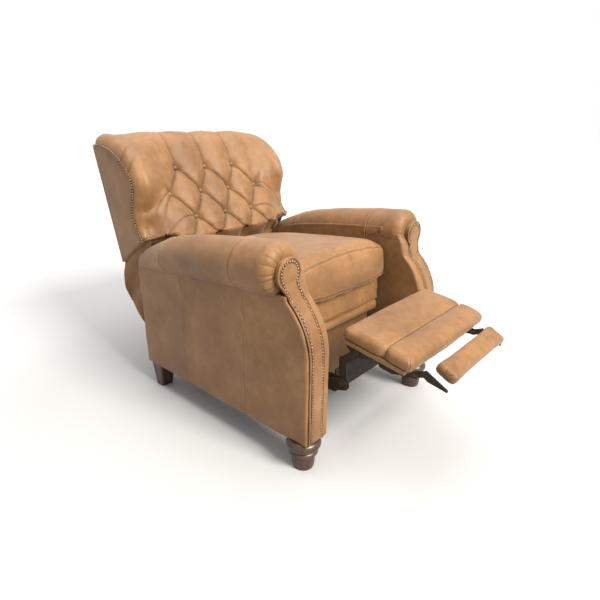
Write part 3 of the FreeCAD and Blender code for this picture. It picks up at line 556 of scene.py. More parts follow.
# ---------------------------------------------------------------- arms
def front_back(z):
    """How far the arm's front face lies behind ARM_FRONT at each height."""
    z = np.asarray(z, float)
    rise = CURVE_HIGH - CURVE_LOW
    radius = (CURVE_BACK ** 2 + rise ** 2) / (2 * CURVE_BACK)
    curve = radius - np.sqrt(radius ** 2 - np.clip(z - CURVE_LOW, 0, rise) ** 2)
    slope = (HEAD_BACK - CURVE_BACK) / (HEAD_LOW - CURVE_HIGH)
    return curve + slope * np.clip(z - CURVE_HIGH, 0, HEAD_LOW - CURVE_HIGH)


def roll_at(y):
    """Height of the roll's centre and its radius at each y."""
    line = spline(ROLL, 200)
    return np.interp(y, line[:, 0], line[:, 1]), np.interp(y, line[:, 0], line[:, 2])


def arm_roll_rings():
    """The roll's rings from its rear to its pleated front: (y, z, radius, frontness)."""
    along = np.linspace(ROLL_REAR, ROLL_FRONT, 190)
    centre_z, radius = roll_at(along)
    rings = [(y, z, r, 0.0) for y, z, r in zip(along, centre_z, radius)]
    corner = 0.034
    front_z, front_r = rings[-1][1:3]
    for step in np.linspace(0.08, 1, 13):
        angle = step * math.pi / 2
        rings.append((along[-1] - corner * math.sin(angle), front_z,
                      front_r - corner * (1 - math.cos(angle)), step))
    for step in np.linspace(0.12, 1, 6):
        rings.append((along[-1] - corner, front_z, (front_r - corner) * (1 - step) + 0.004,
                      1.0))
    rear = [(ROLL_REAR + 0.010 * math.sin(a), ROLL[-1, 1],
             ROLL[-1, 2] * math.cos(a) + 0.001, 0.0) for a in np.linspace(1.5, 0.15, 6)]
    return np.array(rear + rings)


def pleat_grooves(theta):
    """How deep the front's gathered pleats cut at each angle round the roll."""
    rng = np.random.default_rng(4)
    pleats = np.radians(np.linspace(-62, 232, 15)) + rng.uniform(-0.07, 0.07, 15)
    depth = rng.uniform(0.55, 1.0, 15) * (0.15 + 0.7 * dips(pleats + 0.25, 1.15))
    gap = np.abs((theta[None, :, None] - pleats + math.pi) % (2 * math.pi) - math.pi)
    return (dips(gap * 0.06, 0.0022) * depth).sum(axis=2)


def arm_roll_surface():
    """The roll as a grid of rings, with its seams and pleats, and the painted shade along
    them.
    """
    theta = np.linspace(0, 2 * math.pi, 144, endpoint=False)
    y, z, r, front = arm_roll_rings().T[:, :, None]
    reach = smooth_step(y, -0.258, -0.288)
    fan = pleat_grooves(theta) * reach
    puff = np.abs(np.sin(theta[None, :] * 6.5)) * 0.0012 * reach
    seam = seams_at(ROLL_SEAMS, y, SEAM_WIDTH)
    swell = seams_at(ROLL_SEAMS, y, 0.016) * 0.0012
    shape_r = r + puff - 0.0042 * fan - 0.0022 * seam + swell
    x = ROLL_X + shape_r * np.cos(theta)
    height = z + shape_r * np.sin(theta)
    depth_y = y + 0.0035 * fan * front + np.zeros_like(x)
    grid = np.stack([x, depth_y, height], axis=2)
    grid[..., 2] += 0.0014 * lumps(grid, 0.19, 3) * (1 - front)
    grid[..., 0] += 0.0012 * lumps(grid, 0.15, 5) * (1 - front)
    # Painted shade in the front's pleats and along the seams.
    crease_shade = np.clip(0.75 * fan + 0.55 * seam, 0, 1) * np.ones_like(x)
    return grid, crease_shade


def make_arm_roll(side, sign):
    """The padded roll with stitches on both sides of each seam."""
    grid, crease_shade = arm_roll_surface()
    rows, cols = grid.shape[:2]
    faces = [list(f) for f in grid_faces(rows, cols, wrap=True)]
    faces.append(list(range(cols))[::-1])
    faces.append([(rows - 1) * cols + k for k in range(cols)])
    if sign > 0:
        faces = [f[::-1] for f in faces]
    piece = mesh_object("arm_roll_cover_" + side, on_side(sign, grid), faces, crease_shade)
    leather(piece, "base", "arm_roll_" + side, fill=0.8)
    lines = []
    for seam in ROLL_SEAMS:
        for offset in (-0.005, 0.005):
            centre, radius = roll_at(seam + offset)
            angle = np.radians(np.linspace(-35, 205, 60))
            lines.append(np.stack([ROLL_X + (radius + 0.0014) * np.cos(angle),
                                   np.full(60, seam + offset),
                                   centre + (radius + 0.0014) * np.sin(angle)], axis=1))
    thread = stitches("arm_roll_stitches_" + side, [on_side(sign, p) for p in lines])
    leather(thread, "base", material=THREAD)


def side_panel_surface():
    """The outer side panel, from the front corner back, with a soft rounded rim."""
    v, u = shares(96, 190)
    y = ARM_FRONT + u * (ARM_REAR - ARM_FRONT)
    centre, radius = roll_at(np.clip(y, ROLL[0, 0], ROLL_REAR))
    inside = np.sqrt(np.maximum(radius ** 2 - (ARM_OUTER - ROLL_X) ** 2, 0))
    top = centre - inside + 0.006
    z = ARM_BOTTOM + 0.001 + v * (top - ARM_BOTTOM)
    y = y + front_back(z) * (1 - u)
    rim_front = (y - ARM_FRONT - front_back(z)) / 0.012
    rim_rear = (ARM_REAR - y) / 0.010
    rim_low = (z - ARM_BOTTOM) / 0.009
    edge = rounded_rim(np.minimum(np.minimum(rim_front, rim_rear), rim_low))
    seam = seams_at(SIDE_SEAMS, y, SEAM_WIDTH)
    swell = seams_at(SIDE_SEAMS, y, 0.02) * 0.0010
    grid = np.stack([np.zeros_like(y), y, z], axis=2)
    x = ARM_OUTER - 0.006 * (1 - edge) - 0.0010 * seam + swell
    grid[..., 0] = x + 0.0016 * lumps(grid, 0.24, 11) + 0.0006 * lumps(grid, 0.07, 12)
    # Painted shade along the seams and in a band just under the roll's overhang.
    crease_shade = np.clip(0.28 * seam + 0.25 * dips(z - top, 0.012), 0, 1)
    return grid, crease_shade


def make_side_panel(side, sign):
    """The outer side panel with a row of stitches along each of its seams."""
    grid, crease_shade = side_panel_surface()
    piece = shell("side_panel_cover_" + side, on_side(sign, grid), 0.013, (sign, 0, 0),
                  crease_shade)
    leather(piece, "base", "outer_side_panel_" + side, fill=0.5)
    lines = []
    for seam in SIDE_SEAMS:
        column = int(np.argmin(np.abs(grid[30, :, 1] - seam + 0.0045)))
        lines.append(on_side(sign, grid[4:-4, column] + (0.0008, 0, 0)))
    thread = stitches("side_panel_stitches_" + side, lines)
    leather(thread, "base", material=THREAD)


def inner_arm_surface():
    """The leather from inside the arm, wrapped round its front edge to the nails."""
    rows = 110
    corner = 0.015
    inside_y = np.linspace(ROLL_REAR, ARM_FRONT + corner, 120)
    bend = np.linspace(0, math.pi / 2, 12)[1:]
    run = np.linspace(ARM_INNER + corner, 0.2985, 8)[1:]
    x = np.r_[np.full(120, ARM_INNER), ARM_INNER + corner * (1 - np.cos(bend)), run]
    back = np.r_[inside_y - ARM_FRONT, corner * (1 - np.sin(bend)), np.zeros(len(run))]
    v = np.linspace(0, 1, rows)[:, None]
    front_share = smooth_step(back, 0.205, 0.16)
    low = 0.2 - 0.0975 * front_share
    centre, radius = roll_at(np.clip(ARM_FRONT + back, ROLL[0, 0], ROLL_REAR))
    top = np.where(back < 0.10, 0.606, centre + 0.2 * radius)
    z = low + v * (top - low)
    setback = front_back(z)
    y = ARM_FRONT + setback + back * (1 - setback / 0.85)
    y = np.where(back > 0.3, np.maximum(y, ARM_FRONT + back), y)
    grid = np.stack([np.broadcast_to(x, z.shape), y, z], axis=2).copy()
    grid[..., 0] -= 0.0008 * (1 + lumps(grid, 0.16, 21)) * (x < ARM_INNER + 0.002)
    tuck = smooth_step(z, 0.572, 0.606) * (back < 0.10)
    grid[..., 1] += 0.016 * tuck
    under = smooth_step(z, 0.522, 0.556) * smooth_step(x, 0.280, 0.2985) * (back < 0.001)
    grid[..., 0] += 0.024 * under
    grid[..., 1] += 0.0075 * under
    # Painted shade along the line where this leather meets the facing on the arm's front.
    crease_shade = 0.6 * dips(x - 0.2985, 0.002) * np.ones_like(z)
    return grid, crease_shade


def make_inner_arm(side, sign):
    """The padded inside of the arm."""
    grid, crease_shade = inner_arm_surface()
    piece = shell("inner_arm_cover_" + side, on_side(sign, grid), 0.010, (-sign, -0.3, 0),
                  crease_shade)
    leather(piece, "base", "inner_arm_pad_" + side, fill=0.6)


def facing_outline(inset=0.0):
    """The keyhole outline of the arm's front, (x, z), from its lower outer corner."""
    left, right = 0.2968 + inset, 0.3527 - inset
    head = 0.0425 - inset
    neck_low = 0.520
    low = ARM_BOTTOM + 0.004 + inset
    turn = np.radians(np.linspace(-48, 228, 70))
    loop = np.stack([ROLL_X + head * np.cos(turn), HEAD_Z + head * np.sin(turn)], axis=1)
    up = np.stack([np.full(60, right), np.linspace(low, neck_low, 60)], axis=1)
    down = np.stack([np.full(60, left - 0.001), np.linspace(neck_low - 0.015, low, 60)],
                    axis=1)
    rise = spline([up[-1], (right, neck_low + 0.018), loop[0]], 12)[1:-1]
    fall = spline([loop[-1], (left - 0.003, neck_low + 0.012), down[0]], 12)[1:-1]
    return np.concatenate([up, rise, loop, fall, down])


def facing_spine(points):
    """For each outline point, the nearest place on the facing's middle line."""
    middle = [(0.3248, ARM_BOTTOM + 0.02), (0.3248, 0.45), (0.3252, 0.52), (0.330, 0.560),
              (ROLL_X, HEAD_Z)]
    line = spline(middle, 160)
    near = np.linalg.norm(points[:, None] - line[None], axis=2).argmin(axis=1)
    return line[near]


def make_facing(side, sign):
    """The keyhole panel on the arm's front, with a welt round it."""
    outline = facing_outline()
    spine = facing_spine(outline)
    rings = []
    shares = [0.0, 0.0, 0.04, 0.10, 0.2, 0.35, 0.5, 0.7, 0.86, 1.0]
    for index, share in enumerate(shares):
        flat = outline + (spine - outline) * share
        lift = 0.0062 * math.sqrt(1 - (1 - min(share / 0.5, 1.0)) ** 2)
        depth = 0.0 if index else 0.011
        y = ARM_FRONT + front_back(flat[:, 1]) + 0.0025 - lift + depth
        rings.append(np.stack([flat[:, 0], y, flat[:, 1]], axis=1))
    grid = np.array(rings)
    grid[..., 1] += 0.0006 * lumps(grid, 0.05, 31)
    faces = grid_faces(len(shares), len(outline), wrap=True)
    if sign < 0:
        faces = faces[:, ::-1]
    piece = mesh_object("arm_facing_cover_" + side, on_side(sign, grid), faces)
    weld = piece.modifiers.new("weld", "WELD")
    weld.merge_threshold = 0.0004
    applied(piece)
    leather(piece, "base", "arm_facing_" + side, fill=0.4)
    rim = facing_outline(-0.0018)
    path = np.stack([rim[:, 0], ARM_FRONT + front_back(rim[:, 1]) - 0.0005, rim[:, 1]], axis=1)
    leather(welt("arm_facing_welt_" + side, on_side(sign, path), 0.0027), "base")


def evenly(path, pitch):
    """Points along a path of corners, at the pitch that divides it evenly."""
    path = np.array(path, float)
    run = distances_along(path)
    return read_off(path, run, np.linspace(0, run[-1], int(round(run[-1] / pitch)) + 1))


def nail_heads(places, outward):
    """Domed nail heads standing on the given places."""
    profile = [(0, NAIL_HEIGHT), (0.5, NAIL_HEIGHT * 0.82), (0.86, NAIL_HEIGHT * 0.42),
               (1, 0), (0.9, -NAIL_SUNK), (0, -NAIL_SUNK)]
    return merged([dome(place, outward, NAIL_RADIUS, profile, 12) for place in places])


def dome(place, outward, radius, profile, sides):
    """A turned head on a place: (share of the radius, height) from its crown down."""
    outward = np.asarray(outward, float)
    side = np.cross(outward, (0, 0.2, 1.0))
    side /= np.linalg.norm(side)
    other = np.cross(outward, side)
    angle = np.linspace(0, 2 * math.pi, sides, endpoint=False)[:, None]
    spoke = np.cos(angle) * side + np.sin(angle) * other
    verts = [place + outward * profile[0][1]]
    for share, lift in profile[1:-1]:
        verts.extend(place + spoke * radius * share + outward * lift)
    verts.append(place + outward * profile[-1][1])
    rings = len(profile) - 2
    last = 1 + (rings - 1) * sides
    faces = [[0, 1 + (k + 1) % sides, 1 + k] for k in range(sides)]
    faces += [list(f) for f in grid_faces(rings, sides, wrap=True, start=1)]
    faces += [[last + k, last + (k + 1) % sides, last + sides] for k in range(sides)]
    return np.array(verts), faces


def arm_nail_places():
    """The nails' path round the facing: up its outside, round its head and down."""
    turn = np.radians(np.linspace(-38, 215, 40))
    loop = [(ROLL_X + NAIL_LOOP * math.cos(a), HEAD_Z + NAIL_LOOP * math.sin(a))
            for a in turn]
    path = [(0.3460, 0.114), (0.3460, 0.515)] + loop + [(0.3005, 0.526), (0.3030, 0.490),
                                                       (0.3030, 0.114)]
    flat = evenly(path, NAIL_PITCH)
    y = ARM_FRONT + front_back(flat[:, 1]) - 0.0026
    return np.stack([flat[:, 0], y, flat[:, 1]], axis=1)


def box_panel(name, low, high, bulge, seed, radius=0.006):
    """A closed padded panel: a rounded slab that swells a little in front and behind."""
    half = (np.array(high) - low) / 2
    middle = (np.array(high) + low) / 2
    points, faces = rounded_box(half, radius, 44)
    unit = points / half
    swell = (1 - unit[:, 0] ** 2) * (1 - unit[:, 2] ** 2)
    points[:, 1] += bulge * swell * np.sign(unit[:, 1])
    points[:, 1] += 0.0009 * lumps(points, 0.11, seed)
    return mesh_object(name, points + middle, faces)


def rounded_box(half, radius, count):
    """A box with round edges, as points and quads, subdivided evenly on each face."""
    half = np.asarray(half, float)
    verts, faces, index = [], [], {}
    steps = [max(4, int(round(count * h / half.max()))) for h in half]

    def vertex(key):
        if key not in index:
            index[key] = len(verts)
            verts.append([2 * k / n - 1 for k, n in zip(key, steps)])
        return index[key]

    for axis in range(3):
        a, b = [k for k in range(3) if k != axis]
        for end in (0, steps[axis]):
            for i in range(steps[a]):
                for j in range(steps[b]):
                    corners = []
                    for di, dj in ((0, 0), (1, 0), (1, 1), (0, 1)):
                        key = [0, 0, 0]
                        key[axis], key[a], key[b] = end, i + di, j + dj
                        corners.append(vertex(tuple(key)))
                    outward = (end > 0) == (axis != 1)
                    faces.append(corners if outward else corners[::-1])
    points = np.array(verts) * half
    core = np.clip(points, -(half - radius), half - radius)
    away = points - core
    length = np.linalg.norm(away, axis=1, keepdims=True)
    stretched = np.maximum(np.abs(away).max(axis=1, keepdims=True), 1e-9)
    return core + np.where(length > 0, away / np.maximum(length, 1e-9) * stretched, 0), faces


def make_base_panels():
    """Leather over the base's front, its rear and the rear end of each arm."""
    front = box_panel("front_panel_cover", (-0.2275, -0.204, 0.101),
                      (0.2275, -0.1885, 0.311), bulge=0.003, seed=41)
    leather(front, "base", "base_front_panel", fill=0.4)
    rear = box_panel("rear_base_cover", (-REAR_HALF, REAR_IN, 0.101),
                     (REAR_HALF, REAR_OUT, 0.246), bulge=0.002, seed=42, radius=0.004)
    leather(rear, "base", "rear_base_panel", fill=0.3)
    for side, sign in SIDES:
        corners = on_side(sign, [(0.265, REAR_IN, 0.240), (REAR_HALF, REAR_OUT, 0.469)])
        strip = box_panel("rear_arm_cover_" + side, corners.min(axis=0),
                          corners.max(axis=0), bulge=0.002, seed=43, radius=0.004)
        leather(strip, "base", fill=0.3)


def make_arms():
    for side, sign in SIDES:
        heads = nail_heads(on_side(sign, arm_nail_places()), (0, -1, 0))
        piece = mesh_object("arm_nail_heads_" + side, *heads)
        leather(piece, "base", "arm_nails", material=NAIL)
        make_arm_roll(side, sign)
        make_side_panel(side, sign)
        make_inner_arm(side, sign)
        make_facing(side, sign)
    make_base_panels()


# ---------------------------------------------------------------- stuffed pads
def vertices_of(piece):
    """The points of a piece's mesh, as an array of rows."""
    flat = np.empty(len(piece.data.vertices) * 3)
    piece.data.vertices.foreach_get("co", flat)
    return flat.reshape(-1, 3)


def set_vertices(piece, points):
    """Put those points back into the mesh."""
    piece.data.vertices.foreach_set("co", np.asarray(points, float).ravel())
    piece.data.update()


def puffed(piece, voxel, cap):
    """Fill the closed shape like a cushion, moving no point further than cap."""
    remesh = piece.modifiers.new("even", "REMESH")
    remesh.mode = "VOXEL"
    remesh.voxel_size = voxel
    applied(piece)
    before = vertices_of(piece)
    cloth = piece.modifiers.new("fill", "CLOTH")
    cloth.settings.use_pressure = True
    cloth.settings.uniform_pressure_force = 4.0
    cloth.settings.effector_weights.gravity = 0
    cloth.settings.quality = 4
    scene = bpy.context.scene
    for number in range(1, 21):
        scene.frame_set(number)
    applied(piece)
    scene.frame_set(1)
    move = vertices_of(piece) - before
    set_vertices(piece, before + np.clip(move, -np.array(cap), np.array(cap)))
    soften = piece.modifiers.new("soften", "SMOOTH")
    soften.factor = 0.5
    soften.iterations = 3
    finer = piece.modifiers.new("finer", "SUBSURF")
    finer.levels = finer.render_levels = 1
    return applied(piece)


def set_crease_shade(piece, values):
    """Write each point's painted shade, where the piece is folded or sewn."""
    attribute = piece.data.attributes.get("crease_shade")
    if attribute is None or attribute.domain != "POINT":
        if attribute is not None:
            piece.data.attributes.remove(attribute)
        attribute = piece.data.attributes.new("crease_shade", "FLOAT", "POINT")
    attribute.data.foreach_set("value", np.asarray(values, np.float32))


def surface_line(piece, starts, direction):
    """Where rays from the start points meet the piece, a little above its surface."""
    found = []
    direction = Vector(direction).normalized()
    for start in starts:
        hit, place, normal, _ = piece.ray_cast(Vector(start), direction)
        if hit:
            found.append(np.array(place + normal * 0.0006))
    return np.array(found)


def placed(piece, place):
    """Move the piece's own points by a function, from its own measures to the chair's."""
    points = place(vertices_of(piece) - (0, MIDDLE_Y, 0)) + (0, MIDDLE_Y, 0)
    set_vertices(piece, points)
    return piece


def onto_seat(points):
    """Tip the seat's own level points onto the sloping seat."""
    return turned(points, SEAT_FRONT, SEAT_RAIL_TOP, SEAT_SLOPE)


def onto_footrest(points):
    """Tip the footrest's own level points to its slope."""
    return turned(points, FOOTREST_Y, FOOTREST_Z, FOOTREST_DROP)


def onto_flipper(points):
    """Tip the flipper's own level points to its steeper slope."""
    y = FOOTREST_Y - FLIPPER_START
    z = FOOTREST_Z + FLIPPER_LIFT
    return onto_footrest(turned(points, y, z, FLIPPER_DROP))


def plain_shape(points, unit):
    """No crown beyond the box itself."""
    return points


def stuffed(name, low, high, radius, count, shape, voxel, cap):
    """A cushion between two corners, crowned by shape(points, unit) and then filled."""
    low, high = np.array(low), np.array(high)
    half, middle = (high - low) / 2, (high + low) / 2
    points, faces = rounded_box(half, radius, count)
    piece = mesh_object(name, shape(points, points / half) + middle, faces)
    return puffed(piece, voxel, cap)


def stitch_rows(name, piece, rows, place, body):
    """Stitches along rows of (start points, direction), in the piece's own measures."""
    lines = []
    for starts, direction in rows:
        line = surface_line(piece, np.asarray(starts) + (0, MIDDLE_Y, 0), direction)
        if len(line) > 8:
            lines.append(line - (0, MIDDLE_Y, 0))
    thread = stitches(name, [place(line) for line in lines])
    return leather(thread, body, material=THREAD)


# ---------------------------------------------------------------- seat
def cushion_shape(points, unit):
    """Crowned on top, full in front, with sides that pull in towards the corners."""
    p = points.copy()
    crown = 1 - unit[:, 0] ** 2
    along = 1 - np.abs(unit[:, 1]) ** 2.5
    top = np.clip(unit[:, 2], 0, 1)
    p[:, 2] += 0.026 * top * crown ** 0.8 * (0.35 + 0.65 * along)
    front = np.clip(-unit[:, 1], 0, 1) ** 4
    p[:, 1] -= 0.016 * front * crown * (1 - unit[:, 2] ** 2)
    p[:, 1] += 0.010 * front * unit[:, 0] ** 4
    p[:, 0] *= 1 - 0.012 * np.abs(unit[:, 1]) ** 3
    p[:, 2] -= 0.010 * top * np.abs(unit[:, 0]) ** 5
    return p


def seam_dip(piece, distance, width, depth, shade=0.6):
    """Sink the piece's surface along a line, given each point's distance from it, and return
    the painted shade along it.
    """
    points = vertices_of(piece)
    normals = np.empty(len(points) * 3)
    piece.data.vertices.foreach_get("normal", normals)
    line = dips(distance, width)
    set_vertices(piece, points - normals.reshape(-1, 3) * (depth * line)[:, None])
    return shade * line


def edge_distance(points, corner_y, corner_z, tilt):
    """Distance of each point from the plane that cuts a pad's edge along X."""
    return ((points[:, 1] - MIDDLE_Y - corner_y) * math.cos(tilt)
            + (points[:, 2] - corner_z) * math.sin(tilt))


def droop_front(cushion):
    """Hold the cushion between the arms and let its front droop over the rail."""
    points = vertices_of(cushion)
    points[:, 0] = np.clip(points[:, 0], -0.2605, 0.2605)
    overhang = smooth_step(points[:, 1] - MIDDLE_Y, -0.240, -0.268)
    points[:, 2] -= 0.017 * overhang * smooth_step(points[:, 2], 0.530, 0.465)
    points[:, 2] = np.maximum(points[:, 2], CUSHION_LOW - 0.020 * overhang)
    points[:, 2] += 0.0016 * lumps(points, 0.22, 51) * (points[:, 2] > 0.52)
    set_vertices(cushion, points)
    return points


def seam_bow(x, tilt):
    """How far the upper front seam rises above its ends. The lower one is straight."""
    return 0.020 * (1 - (x / 0.26) ** 2) if tilt > 0 else 0 * x


def sew_cushion(cushion, points):
    """Sink the boxing seams into the cushion and paint shade along them."""
    shade = np.zeros(len(points))
    front = points[:, 1] < MIDDLE_Y + CUSHION_FRONT + 0.10
    for corner_z, tilt in CUSHION_SEAMS:
        seam_z = corner_z + seam_bow(points[:, 0], tilt)
        distance = edge_distance(points, CUSHION_FRONT + 0.008, seam_z,
                                 math.pi / 2 - math.radians(tilt))
        shade += seam_dip(cushion, np.where(front, distance, 1.0), 0.0028, 0.0022)
    side = np.where(points[:, 2] > 0.5, np.abs(points[:, 2] - CUSHION_TOP + 0.010), 1.0)
    side = np.where(np.abs(points[:, 0]) > 0.245, side, 1.0)
    shade += seam_dip(cushion, side, 0.0028, 0.0015)
    set_crease_shade(cushion, np.clip(shade, 0, 1))


def stitch_cushion(cushion):
    """A row of stitches on both sides of each front seam."""
    x = np.linspace(-0.235, 0.235, 190)
    rows = []
    for corner_z, tilt in CUSHION_SEAMS:
        angle = math.radians(tilt)
        out = np.array((0, -math.cos(angle), math.sin(angle)))
        aside = np.array((0, math.sin(angle), math.cos(angle)))
        seam = np.stack([x, np.full(190, CUSHION_FRONT + 0.008),
                         corner_z + seam_bow(x, tilt)], axis=1)
        for offset in (-0.0075, 0.0075):
            rows.append((seam + out * 0.1 + aside * offset, -out))
    stitch_rows("seat_cushion_stitches", cushion, rows, onto_seat, "seat")


def make_seat():
    """The loose cushion, the padded rail below it and the leather band between them."""
    cushion = stuffed("seat_cushion_cover", (-0.2535, CUSHION_FRONT, CUSHION_LOW + 0.001),
                      (0.2535, CUSHION_REAR - 0.006, CUSHION_TOP - 0.012), radius=0.016,
                      count=46, shape=cushion_shape, voxel=0.0085,
                      cap=(0.0055, 0.016, 0.020))
    sew_cushion(cushion, droop_front(cushion))
    stitch_cushion(cushion)
    placed(cushion, onto_seat)
    leather(cushion, "seat", "seat_cushion", fill=0.85)
    rail = stuffed("seat_rail_cover", (-SEAT_HALF, -0.246, 0.3215),
                   (SEAT_HALF, -0.2205, 0.361), radius=0.012, count=60,
                   shape=plain_shape, voxel=0.0045, cap=(0.001, 0.004, 0.004))
    leather(rail, "seat", "seat_rail_pad", fill=0.7)
    band = box_panel("seat_front_band", (-0.2330, -0.2300, 0.358),
                     (0.2330, -0.2212, 0.451), bulge=0.001, seed=52, radius=0.004)
    leather(placed(band, onto_seat), "seat", fill=0.2)


# ---------------------------------------------------------------- footrest
def footrest_shape(points, unit):
    """Flat and full, nipped in at its seam, with pinched corners."""
    p = points.copy()
    seam_y = FOOTREST_LENGTH / 2 - FOOTREST_SEAM
    near = dips(p[:, 1] - seam_y, 0.010)
    top = np.clip(unit[:, 2], 0, 1)
    p[:, 0] -= 0.0065 * near * np.sign(unit[:, 0]) * np.abs(unit[:, 0]) ** 8
    p[:, 2] -= 0.005 * near * top
    lobe = np.where(p[:, 1] > seam_y, (p[:, 1] - seam_y) / FOOTREST_SEAM,
                    (seam_y - p[:, 1]) / (FOOTREST_LENGTH - FOOTREST_SEAM))
    p[:, 2] += 0.007 * top * np.sin(np.clip(lobe, 0, 1) * math.pi) * (1 - unit[:, 0] ** 6)
    p[:, 1] -= 0.006 * (1 - unit[:, 0] ** 2) * np.clip(-unit[:, 1], 0, 1)
    return p


def sew_footrest(pad):
    """Sink the cross seam and draw its ends in: the moved points, and their shading."""
    points = vertices_of(pad)
    unit_x = points[:, 0] / FOOTREST_HALF
    seam_y = MIDDLE_Y + FOOTREST_Y - FOOTREST_SEAM
    around = points[:, 2] > FOOTREST_Z - 0.034
    distance = np.where(around, points[:, 1] - seam_y, 1.0)
    shade = seam_dip(pad, distance, 0.0024, 0.0032, 0.75)
    points = vertices_of(pad)
    pucker = dips(points[:, 1] - seam_y, 0.016) * np.clip(np.abs(unit_x) - 0.9, 0, 0.1) * 10
    points[:, 0] -= np.sign(unit_x) * 0.006 * pucker
    return points, shade


def fold_corner(points, corner_x, corner_y):
    """Pinch one corner of the footrest into a mitred fold, and return the painted shade along
    the fold.
    """
    from_corner_y = points[:, 1] - MIDDLE_Y - corner_y
    away = np.hypot(points[:, 0] - corner_x * (FOOTREST_HALF - 0.006), from_corner_y)
    inward = np.sign(corner_y - FOOTREST_Y + 0.1)
    off_mitre = ((points[:, 0] - corner_x * FOOTREST_HALF) * corner_x
                 - inward * from_corner_y) / math.sqrt(2)
    fold = dips(off_mitre, 0.0022) * dips(away, 0.022)
    points[:, 2] -= 0.0035 * fold + 0.002 * dips(away, 0.017)
    points[:, 0] -= corner_x * 0.0025 * fold
    return fold


def stitch_footrest(pad):
    """A row of stitches on both sides of the cross seam."""
    x = np.linspace(-0.226, 0.226, 200)
    rows = []
    for offset in (-0.0060, 0.0060):
        start = np.stack([x, np.full(200, FOOTREST_Y - FOOTREST_SEAM + offset),
                          np.full(200, FOOTREST_Z + 0.1)], axis=1)
        rows.append((start, (0, 0, -1)))
    stitch_rows("footrest_stitches", pad, rows, onto_footrest, "footrest")


def make_footrest_pad():
    """The footrest pad, sewn across and folded at its corners."""
    rear = FOOTREST_Y - 0.001
    front = FOOTREST_Y - FOOTREST_LENGTH + 0.004
    pad = stuffed("footrest_cover", (-FOOTREST_HALF + 0.003, front, FOOTREST_Z - 0.0375),
                  (FOOTREST_HALF - 0.003, rear, FOOTREST_Z - 0.004), radius=0.011,
                  count=84, shape=footrest_shape, voxel=0.0048,
                  cap=(0.003, 0.004, 0.0055))
    points, shade = sew_footrest(pad)
    for corner_x in (-1, 1):
        for corner_y in (front, rear):
            shade = shade + 0.6 * fold_corner(points, corner_x, corner_y)
    points[:, 2] += 0.0010 * lumps(points, 0.12, 61)
    set_vertices(pad, points)
    set_crease_shade(pad, np.clip(shade, 0, 1))
    stitch_footrest(pad)
    placed(pad, onto_footrest)
    leather(pad, "footrest", "footrest_pad", fill=0.6)


def gather_end(points, end, middle_y, middle_z):
    """Gather one end of the flipper towards its middle, and return the painted shade in the
    gathers.
    """
    ray = np.arctan2(points[:, 2] - middle_z, points[:, 1] - MIDDLE_Y - middle_y)
    gathers = np.clip(np.cos(ray * 5 + 0.6), 0, 1) ** 12
    fold = gathers * smooth_step(points[:, 0] * end - FLIPPER_HALF, -0.020, -0.002)
    points[:, 0] -= end * 0.003 * fold
    points[:, 1] -= 0.0016 * fold * np.cos(ray)
    points[:, 2] -= 0.0016 * fold * np.sin(ray)
    return fold


def make_flipper():
    """The small pad beyond the footrest, gathered at its ends."""
    y = FOOTREST_Y - FLIPPER_START
    z = FOOTREST_Z + FLIPPER_LIFT
    low = (-FLIPPER_HALF + 0.004, y - FLIPPER_LENGTH + 0.003, z - 0.0385)
    high = (FLIPPER_HALF - 0.004, y - 0.003, z - 0.003)
    flipper = stuffed("flipper_cover", low, high, radius=0.014, count=70,
                      shape=plain_shape, voxel=0.0045, cap=(0.004, 0.003, 0.003))
    points = vertices_of(flipper)
    shade = np.zeros(len(points))
    for end in (-1, 1):
        shade += 0.5 * gather_end(points, end, y - FLIPPER_LENGTH / 2, z - 0.021)
    points[:, 2] += 0.0009 * lumps(points, 0.09, 62)
    set_vertices(flipper, points)
    set_crease_shade(flipper, np.clip(shade, 0, 1))
    placed(flipper, onto_flipper)
    leather(flipper, "flipper", "flipper_pad", fill=0.75)


def make_footrest():
    make_footrest_pad()
    make_flipper()


# ---------------------------------------------------------------- back
def leaned(points):
    """From the back's upright measures (x, depth, height) to the chair's."""
    p = np.asarray(points, float) + (0, BACK_Y, BACK_Z)
    return turned(p, BACK_Y, BACK_Z, BACK_LEAN)


def wing_edge(grow, count=60):
    """The wing's front edge from its foot to its top, grown from the nail line."""
    line = spline(np.array(WING_LINE)[::-1], count)
    along = np.gradient(line, axis=0)
    along /= np.linalg.norm(along, axis=1)[:, None]
    return line + grow * np.stack([-along[:, 1], along[:, 0]], axis=1)


def distance_to_line(x, h, line):
    """Distance of each place from a polyline, and how far along it that is (0 to 1)."""
    best = np.full(x.shape, 1e9)
    share = np.zeros(x.shape)
    last = len(line) - 1
    for k, (a, b) in enumerate(zip(line, line[1:])):
        run = b - a
        t = np.clip(((x - a[0]) * run[0] + (h - a[1]) * run[1]) / (run @ run), 0, 1)
        d = np.hypot(x - a[0] - t * run[0], h - a[1] - t * run[1])
        share = np.where(d < best, (k + t) / last, share)
        best = np.minimum(best, d)
    return best, share


def pleated(x, height, drawn, crease_shade):
    """The pleats that run from the outer buttons to the wings, added to the tufting."""
    for points in PLEATS:
        line = spline(points, 22)
        away, share = distance_to_line(np.abs(x), height, line)
        fade = (1 - share ** 2) * (away < 0.05)
        if points[0][0] > 0.3:
            fade = (1 - share) * (away < 0.05)
        drawn = drawn + (0.0052 * np.exp(-away / 0.0048) - 0.0030 * dips(away, 0.017)) * fade
        # Painted shade along each pleat.
        crease_shade = np.maximum(crease_shade, 0.8 * np.exp(-away / 0.0024) * fade)
    return drawn, crease_shade


